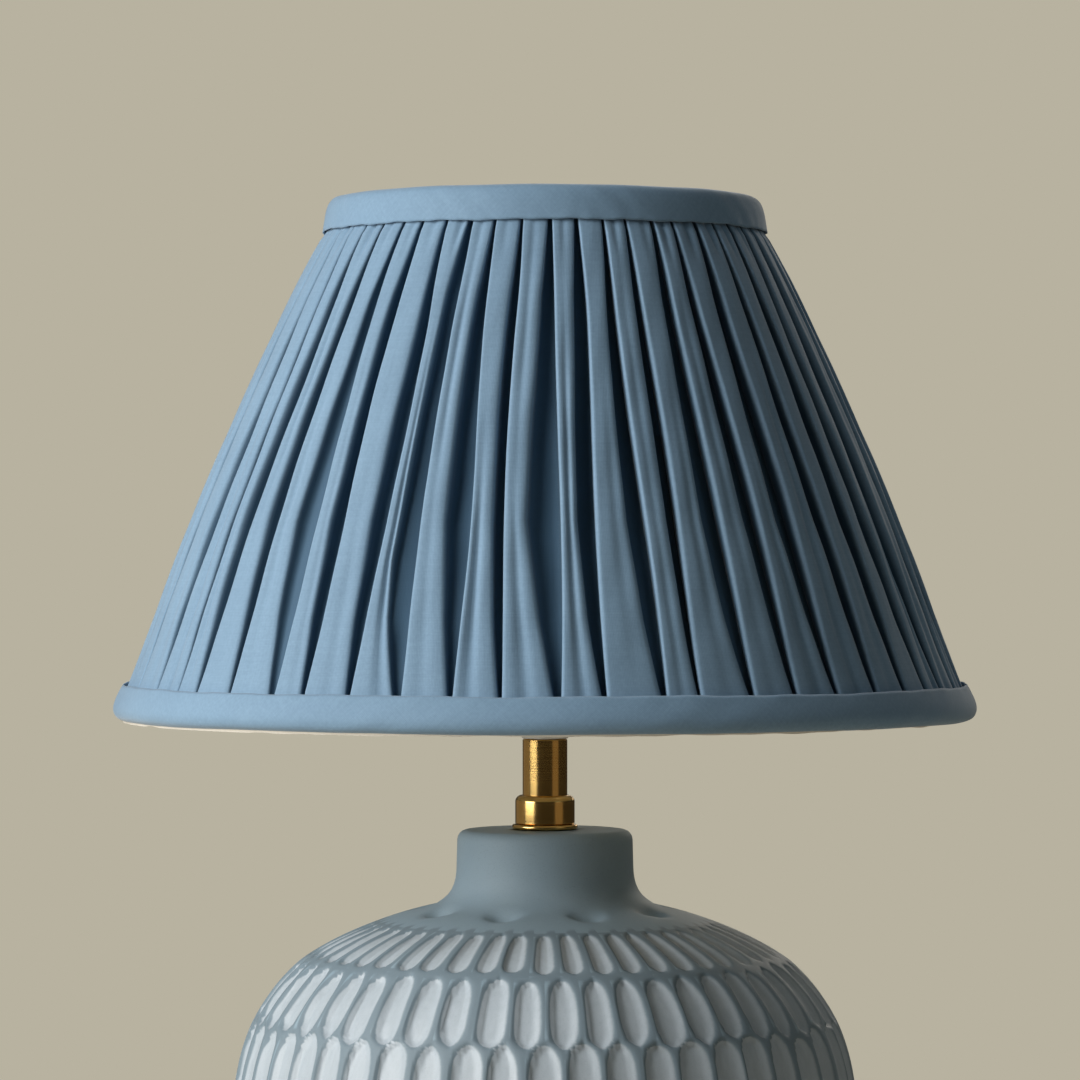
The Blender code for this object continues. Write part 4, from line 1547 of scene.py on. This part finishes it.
    def fold_faces(self, rng: np.random.Generator, share: np.ndarray) -> tuple[np.ndarray, np.ndarray]:
        """Lays soft folds on the pleats' faces: near the hem, on the way down and just below the band.

        Args:
            rng: What draws the folds.
            share: How far down the cover each row lies.

        Returns:
            The folds' heights, as shares of the pleats' depth, and their places on the faces.
        """
        near_hem = smoothstep(0.5, 0.95, share)[:, None] * rng.uniform(0.0, 0.85, self.pleats)
        midway = np.exp(-(((share[:, None] - rng.uniform(0.2, 0.8, self.pleats)) / 0.25) ** 2))
        crease = 0.42 * near_hem + 0.14 * midway * rng.uniform(0, 1, self.pleats)
        crease += 0.5 * np.exp(-((share / 0.05) ** 2))[:, None] * rng.uniform(0, 0.8, self.pleats)
        place = rng.uniform(0.35, 0.72, self.pleats) + 0.5 * self.drift(rng, share, 0.08)
        return crease, place

    def sink(
        self,
        rng: np.random.Generator,
        height: np.ndarray,
        share: np.ndarray,
        angle: np.ndarray,
        down: np.ndarray,
    ) -> np.ndarray:
        """Sinks the recesses below the pleats' faces, as far as the struts and the lining leave room.

        Args:
            rng: What draws each pleat's depth.
            height: Heights of the rows.
            share: How far down the cover each row lies.
            angle: Azimuth of each point, as rows by pleats by points.
            down: Each point's share of the depth, in the same way.

        Returns:
            The radius of each point.
        """
        outer = self.outer_radius(height)
        room = outer - np.interp(height, *np.array(self.strut).T) - self.clearance
        depth = np.maximum(room + self.lining_gap, 1.0)[:, None]
        lift = np.clip(1 + 0.12 * rng.normal(0, 1, self.pleats), 0.75, 1.0)
        spacing = FULL_TURN / self.struts
        turns = angle / spacing - 0.5
        from_strut = (turns - np.round(turns)) * spacing * outer[:, None, None]
        limit = depth[..., None] - self.lining_gap * np.exp(-((from_strut / self.strut_reach) ** 4))
        free = smoothstep(1.0, 0.86, share)[:, None, None]
        ripple = 0.16 * np.sin(share[:, None, None] * 31 + angle * 47) * free
        sunk = np.clip(down * (depth * lift)[..., None] + ripple, 0.0, None)
        return outer[:, None, None] - np.minimum(sunk, limit)

    def build(self) -> None:
        rng = np.random.default_rng(23)
        height = np.interp(np.linspace(0, 1, self.rows), *np.array(self.row_heights).T)
        upper, lower = self.free_heights
        share = np.clip((upper - height) / (upper - lower), 0, 1)
        edge, pitch, gap = self.lay_pleats(rng, share)
        across, down = self.section(gap, *self.fold_faces(rng, share))
        turns = (edge[..., None] + across * pitch[..., None]) / self.pleats
        angle = turns * FULL_TURN + FRONT + self.turned_by
        radius = self.sink(rng, height, share, angle, down)
        xyz = on_axis(radius.reshape(self.rows, -1), angle.reshape(self.rows, -1), height[:, None])
        # The fold attribute is each point's share of the pleat's depth, by which the cotton paints shade; on
        # the faces it is held low.
        face = slice(len(self.edge_section), len(self.edge_section) + self.face_points)
        down[..., face] = np.minimum(down[..., face], self.face_shade)
        cover = weave_grid("gathered_cover", xyz, {"fold": down.reshape(self.rows, -1)})
        self.map_pleats(cover, xyz, across.shape[-1])
        settle(cover, Body.SHADE, BLUE_COTTON, "pleated_cover")
        width = np.linalg.norm(np.diff(xyz, axis=1, append=xyz[:, :1]), axis=-1).sum(axis=1)
        LOG.info("cover unfolds to %.0f mm at its widest", width.max())

    def map_pleats(self, cover: Piece, xyz: np.ndarray, points: int) -> None:
        """Maps the weave along each pleat from its own fold edge, so that threads run down every face.

        Args:
            cover: The cover.
            xyz: Its points, as rows by columns by XYZ.
            points: How many points each pleat has.
        """
        closed = np.concatenate([xyz, xyz[:, :1]], axis=1)
        steps = np.linalg.norm(np.diff(closed, axis=1), axis=-1)
        reached = np.cumsum(steps, axis=1) - steps
        across = reached - np.repeat(reached[:, ::points], points, axis=1)
        across = np.concatenate([across, np.zeros((len(across), 1))], axis=1)
        fall = np.linalg.norm(np.diff(xyz[:, self.outermost], axis=0), axis=-1)
        down = np.broadcast_to(np.concatenate([[0], np.cumsum(fall)])[:, None], across.shape)
        map_cloth(cover, across, down)


@dataclass
class Bands:
    """The two bias bands that bind the cover's edges."""

    columns: int = 432
    cloth: float = 0.6
    corner: float = 2.6
    pucker_reach: float = 3.0
    top_outline: Points = (
        (102.9, 541.9), (102.6, 544.0), (101.4, 551.5), (99.6, 556.0),
        (96.5, 557.6), (92.6, 556.8), (90.5, 553.0), (90.5, 545.0),
    )
    hem_outline: Points = (
        (195.2, 333.7), (196.6, 331.5), (199.2, 326.2), (200.0, 322.0),
        (198.4, 318.3), (193.4, 316.9), (189.0, 318.6), (186.3, 327.0),
    )

    def band(self, name: str, outline: Points, node: str, seed: int) -> Piece:
        """Builds one band: its section swept round, a little uneven, with small puckers at its cover edge.

        Args:
            name: The piece's name.
            outline: Radius and height of its section's corners, from the cover edge round the wire.
            node: The CAD node that it replaces.
            seed: The seed of its unevenness.

        Returns:
            The band.
        """
        rng = np.random.default_rng(seed)
        section = np.array(soften(list(outline), self.corner, looped=False))
        fall = walked(section)
        angle = around(len(section), self.columns)
        near_edge = np.exp(-fall / self.pucker_reach)[:, None]
        sway = 0.084 * waves(angle, [3, 7, 11, 17], rng)
        pucker = 0.16 * waves(angle, [54, 61, 83], rng) * near_edge
        wrinkle = 0.10 * waves(angle + fall[:, None] * 0.01, [29, 38, 47], rng)
        radius = section[:, :1] - self.cloth + sway + pucker + wrinkle
        height = section[:, 1:] + 0.35 * waves(angle, [4, 9, 23, 54], rng) * near_edge
        height = height + 0.16 * waves(angle, [5, 8, 14], rng)
        piece = weave_grid(name, on_axis(radius, angle, height), {"fold": np.zeros_like(radius)})
        across = np.linspace(0, FULL_TURN * section[0, 0], self.columns + 1)
        down = fall[:, None]
        bias = math.sqrt(0.5)
        map_cloth(piece, (across + down) * bias, (across - down) * bias)
        thick = piece.modifiers.new("thick", "SOLIDIFY")
        thick.thickness = self.cloth * MM
        thick.offset = -1
        bpy.context.view_layer.objects.active = piece
        bpy.ops.object.modifier_apply(modifier=thick.name)
        return settle(piece, Body.SHADE, BLUE_COTTON, node)

    def build(self) -> None:
        top = self.band("top_bias_band", self.top_outline, "top_band", 3)
        hem = self.band("hem_bias_band", self.hem_outline, "bottom_band", 5)


@dataclass
class Lining:
    """The white lining, stretched flat between the struts, and its turned edge that peeps out at the hem."""

    columns: int = 384
    rows: int = 24
    struts: int = 8
    upper_radius: float = 92.9
    hem_inset: float = 0.6
    sag: float = 1.1
    ripple: float = 0.12
    edge_columns: int = 720
    edge_outline: Points = ((195.6, 0.6), (195.2, 0.0), (194.7, -0.35))
    edge_length: float = 1225.0
    edge_dip: float = 0.8
    lowest_side: float = FRONT - 0.9

    def build(self) -> None:
        low, high = span("shade_lining")
        rng = np.random.default_rng(31)
        share = np.linspace(0, 1, self.rows)
        height = high.z + (low.z - high.z) * share
        radius = self.upper_radius + (high.x - self.hem_inset - self.upper_radius) * share
        angle = around(self.rows, self.columns)
        between = 0.5 - 0.5 * np.cos((angle - math.pi / self.struts) * self.struts)
        pull = np.sin(np.pi * share)[:, None]
        ripple = self.ripple * waves(angle, [16, 24, 41], rng)
        spread = radius[:, None] + (ripple - self.sag * between) * pull
        points = on_axis(spread, angle, height[:, None])
        lining = weave_grid("stretched_lining", points, {"fold": np.zeros_like(spread)})
        across = np.linspace(0, FULL_TURN, self.columns + 1) * radius[:, None]
        slant = np.hypot(height[0] - height, radius - radius[0])
        map_cloth(lining, across, np.broadcast_to(slant[:, None], across.shape))
        settle(lining, Body.SHADE, LINING_COTTON, "shade_lining")
        edge = self.build_edge(rng)

    def build_edge(self, rng: np.random.Generator) -> Piece:
        """Builds the turned edge of the lining, which peeps out unevenly and most on one side.

        Args:
            rng: What draws its unevenness.

        Returns:
            The edge.
        """
        hem = span("bottom_band")[0].z
        outline = np.array(self.edge_outline)
        angle = around(len(outline), self.edge_columns)
        dip = 0.25 + 0.75 * np.cos(angle[0] - self.lowest_side) + 0.4 * waves(angle[0], [5, 13, 31, 57], rng)
        height = np.repeat(hem + outline[:, 1:], self.edge_columns, axis=1)
        height[-1] -= self.edge_dip * np.clip(dip, -0.6, 1.0)
        points = on_axis(outline[:, :1], angle, height)
        edge = weave_grid("lining_turned_edge", points, {"fold": np.zeros(angle.shape)})
        across = np.linspace(0, self.edge_length, self.edge_columns + 1)
        down = np.arange(float(len(outline)))[:, None]
        map_cloth(edge, *np.broadcast_arrays(across, down))
        return settle(edge, Body.SHADE, LINING_COTTON)


# ----------------------------------------------------------------------------------------- carried-over nodes


class CarriedOver:
    """The small CAD solids whose shape is right: each keeps its mesh and takes the finish of its slot."""

    def dress(self) -> None:
        """Gives every CAD node the finish that its slot names."""
        by_slot = {finish.slot: finish for finish in FINISHES}
        for name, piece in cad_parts.items():
            for holder in piece.material_slots:
                finish = by_slot.get(holder.material.name.split(".")[0])
                if finish:
                    holder.material = finish.material()
                    LOG.info("%s keeps its shape in %s", name, finish.name)


# ------------------------------------------------------------------------------------------------- the studio


@dataclass(frozen=True)
class SoftLight:
    """A soft light that faces the object from some degrees to the camera's left and above."""

    name: str
    side: float
    rise: float
    size: tuple[float, float]
    power: float
    colour: str

    def hang(self, aim: Vector, distance: float) -> None:
        """Hangs the light.

        Args:
            aim: The point that it faces.
            distance: How far from that point it hangs, in metres.
        """
        data = bpy.data.lights.new(self.name, "AREA")
        data.shape = "RECTANGLE"
        data.size, data.size_y = self.size
        data.energy = self.power
        data.color = linear(self.colour)[:3]
        light = bpy.data.objects.new(self.name, data)
        bpy.context.collection.objects.link(light)
        side, rise = math.radians(self.side), math.radians(self.rise)
        level = distance * math.cos(rise)
        offset = Vector((-level * math.sin(side), -level * math.cos(side), distance * math.sin(rise)))
        light.location = aim + offset
        light.rotation_euler = (-offset).to_track_quat("-Z", "Y").to_euler()


@dataclass
class Studio:
    """The camera, a tall soft key from the left, dim fills round about, the air and the floor."""

    eye: tuple[float, float, float] = (-0.0023, -2.25, 0.400)
    lens: float = 162.0
    aim: tuple[float, float, float] = (0.0, 0.0, 0.38)
    distance: float = 1.8
    lights: tuple[SoftLight, ...] = (
        SoftLight("key", 62.0, 20.0, (1.3, 1.5), 48.0, "FFFDFA"),
        SoftLight("fill", -56.0, 32.0, (0.9, 1.8), 2.6, "D2ECFA"),
        SoftLight("card", -56.0, 0.0, (1.1, 1.2), 0.75, "FFDDB4"),
        SoftLight("glow", 117.0, 8.0, (2.2, 1.6), 2.0, "FFEBCF"),
        SoftLight("back", -162.0, 28.0, (1.3, 1.5), 14.0, "FFF6EA"),
    )
    air: str = "37322A"
    wall: str = "B8B2A0"
    floor: str = "C2BBAA"
    floor_radius: float = 1.25
    floor_gap: float = 0.0004

    def build_camera(self) -> None:
        """Sets a level camera in front."""
        data = bpy.data.cameras.new("camera")
        data.lens = self.lens
        data.sensor_width = 36.0
        data.clip_end = 50.0
        camera = bpy.data.objects.new("camera", data)
        bpy.context.collection.objects.link(camera)
        camera.location = self.eye
        camera.rotation_euler = (math.pi / 2, 0, 0)
        bpy.context.scene.camera = camera
        bpy.context.scene.view_settings.view_transform = "Standard"

    def build_air(self) -> None:
        """Makes the dim air that fills the shadows, and the plain wall that is seen behind the object."""
        world = bpy.data.worlds.new("studio")
        world.use_nodes = True
        bpy.context.scene.world = world
        tree = world.node_tree
        straight = add_node(tree, Node.PATH, out="Is Camera Ray")
        through = add_node(tree, Node.PATH, out="Is Transmission Ray")
        seen = add_node(tree, Node.MATH, {0: straight, 1: through}, operation="MAXIMUM")
        air = add_node(tree, Node.BACKGROUND, {"Color": linear(self.air)})
        wall = add_node(tree, Node.BACKGROUND, {"Color": linear(self.wall)})
        room = add_node(tree, Node.BLEND, {0: seen, 1: air, 2: wall})
        tree.links.new(room, tree.nodes["World Output"].inputs["Surface"])

    def build_floor(self) -> None:
        """Lays a pale round floor that fades out towards its rim and is clear from below."""
        bpy.ops.object.select_all(action="DESELECT")
        bpy.ops.mesh.primitive_circle_add(vertices=128, radius=self.floor_radius, fill_type="NGON")
        floor = bpy.context.object
        floor.name = "floor"
        floor.location.z = -self.floor_gap
        material = bpy.data.materials.new("pale_paper_floor")
        material.use_nodes = True
        tree = material.node_tree
        shader = tree.nodes["Principled BSDF"]
        shader.inputs["Base Color"].default_value = linear(self.floor)
        shader.inputs["Roughness"].default_value = 0.8
        place = add_node(tree, Node.PLACE, out="Object")
        away = add_node(tree, Node.VECTOR, {0: place}, "Value", operation="LENGTH")
        fading = {0: away, 1: self.floor_radius * 0.6, 2: self.floor_radius * 0.98, 3: 1.0, 4: 0.0}
        shown = add_node(tree, Node.RANGE, fading, interpolation_type="SMOOTHSTEP")
        below = add_node(tree, Node.SIDE, out="Backfacing")
        seen = add_node(tree, Node.MATH, {0: shown, 1: below}, operation="SUBTRACT", use_clamp=True)
        tree.links.new(seen, shader.inputs["Alpha"])
        floor.data.materials.append(material)

    def build(self) -> None:
        """Sets up everything around the object."""
        self.build_camera()
        self.build_air()
        self.build_floor()
        for light in self.lights:
            light.hang(Vector(self.aim), self.distance)


LAMP: tuple[type, ...] = (
    CarvedBase, BrassNeck, Lampholder, Bulb, Carrier, ShadeFrame, PleatedCover, Bands, Lining,
)


def main() -> None:
    """Builds the studio and the lamp, from the base up."""
    logging.basicConfig(level=logging.INFO, format="%(name)s: %(message)s")
    Studio().build()
    CarriedOver().dress()
    for part in LAMP:
        LOG.info("building %s", part.__name__)
        part().build()


if __name__ == "__main__":
    main()
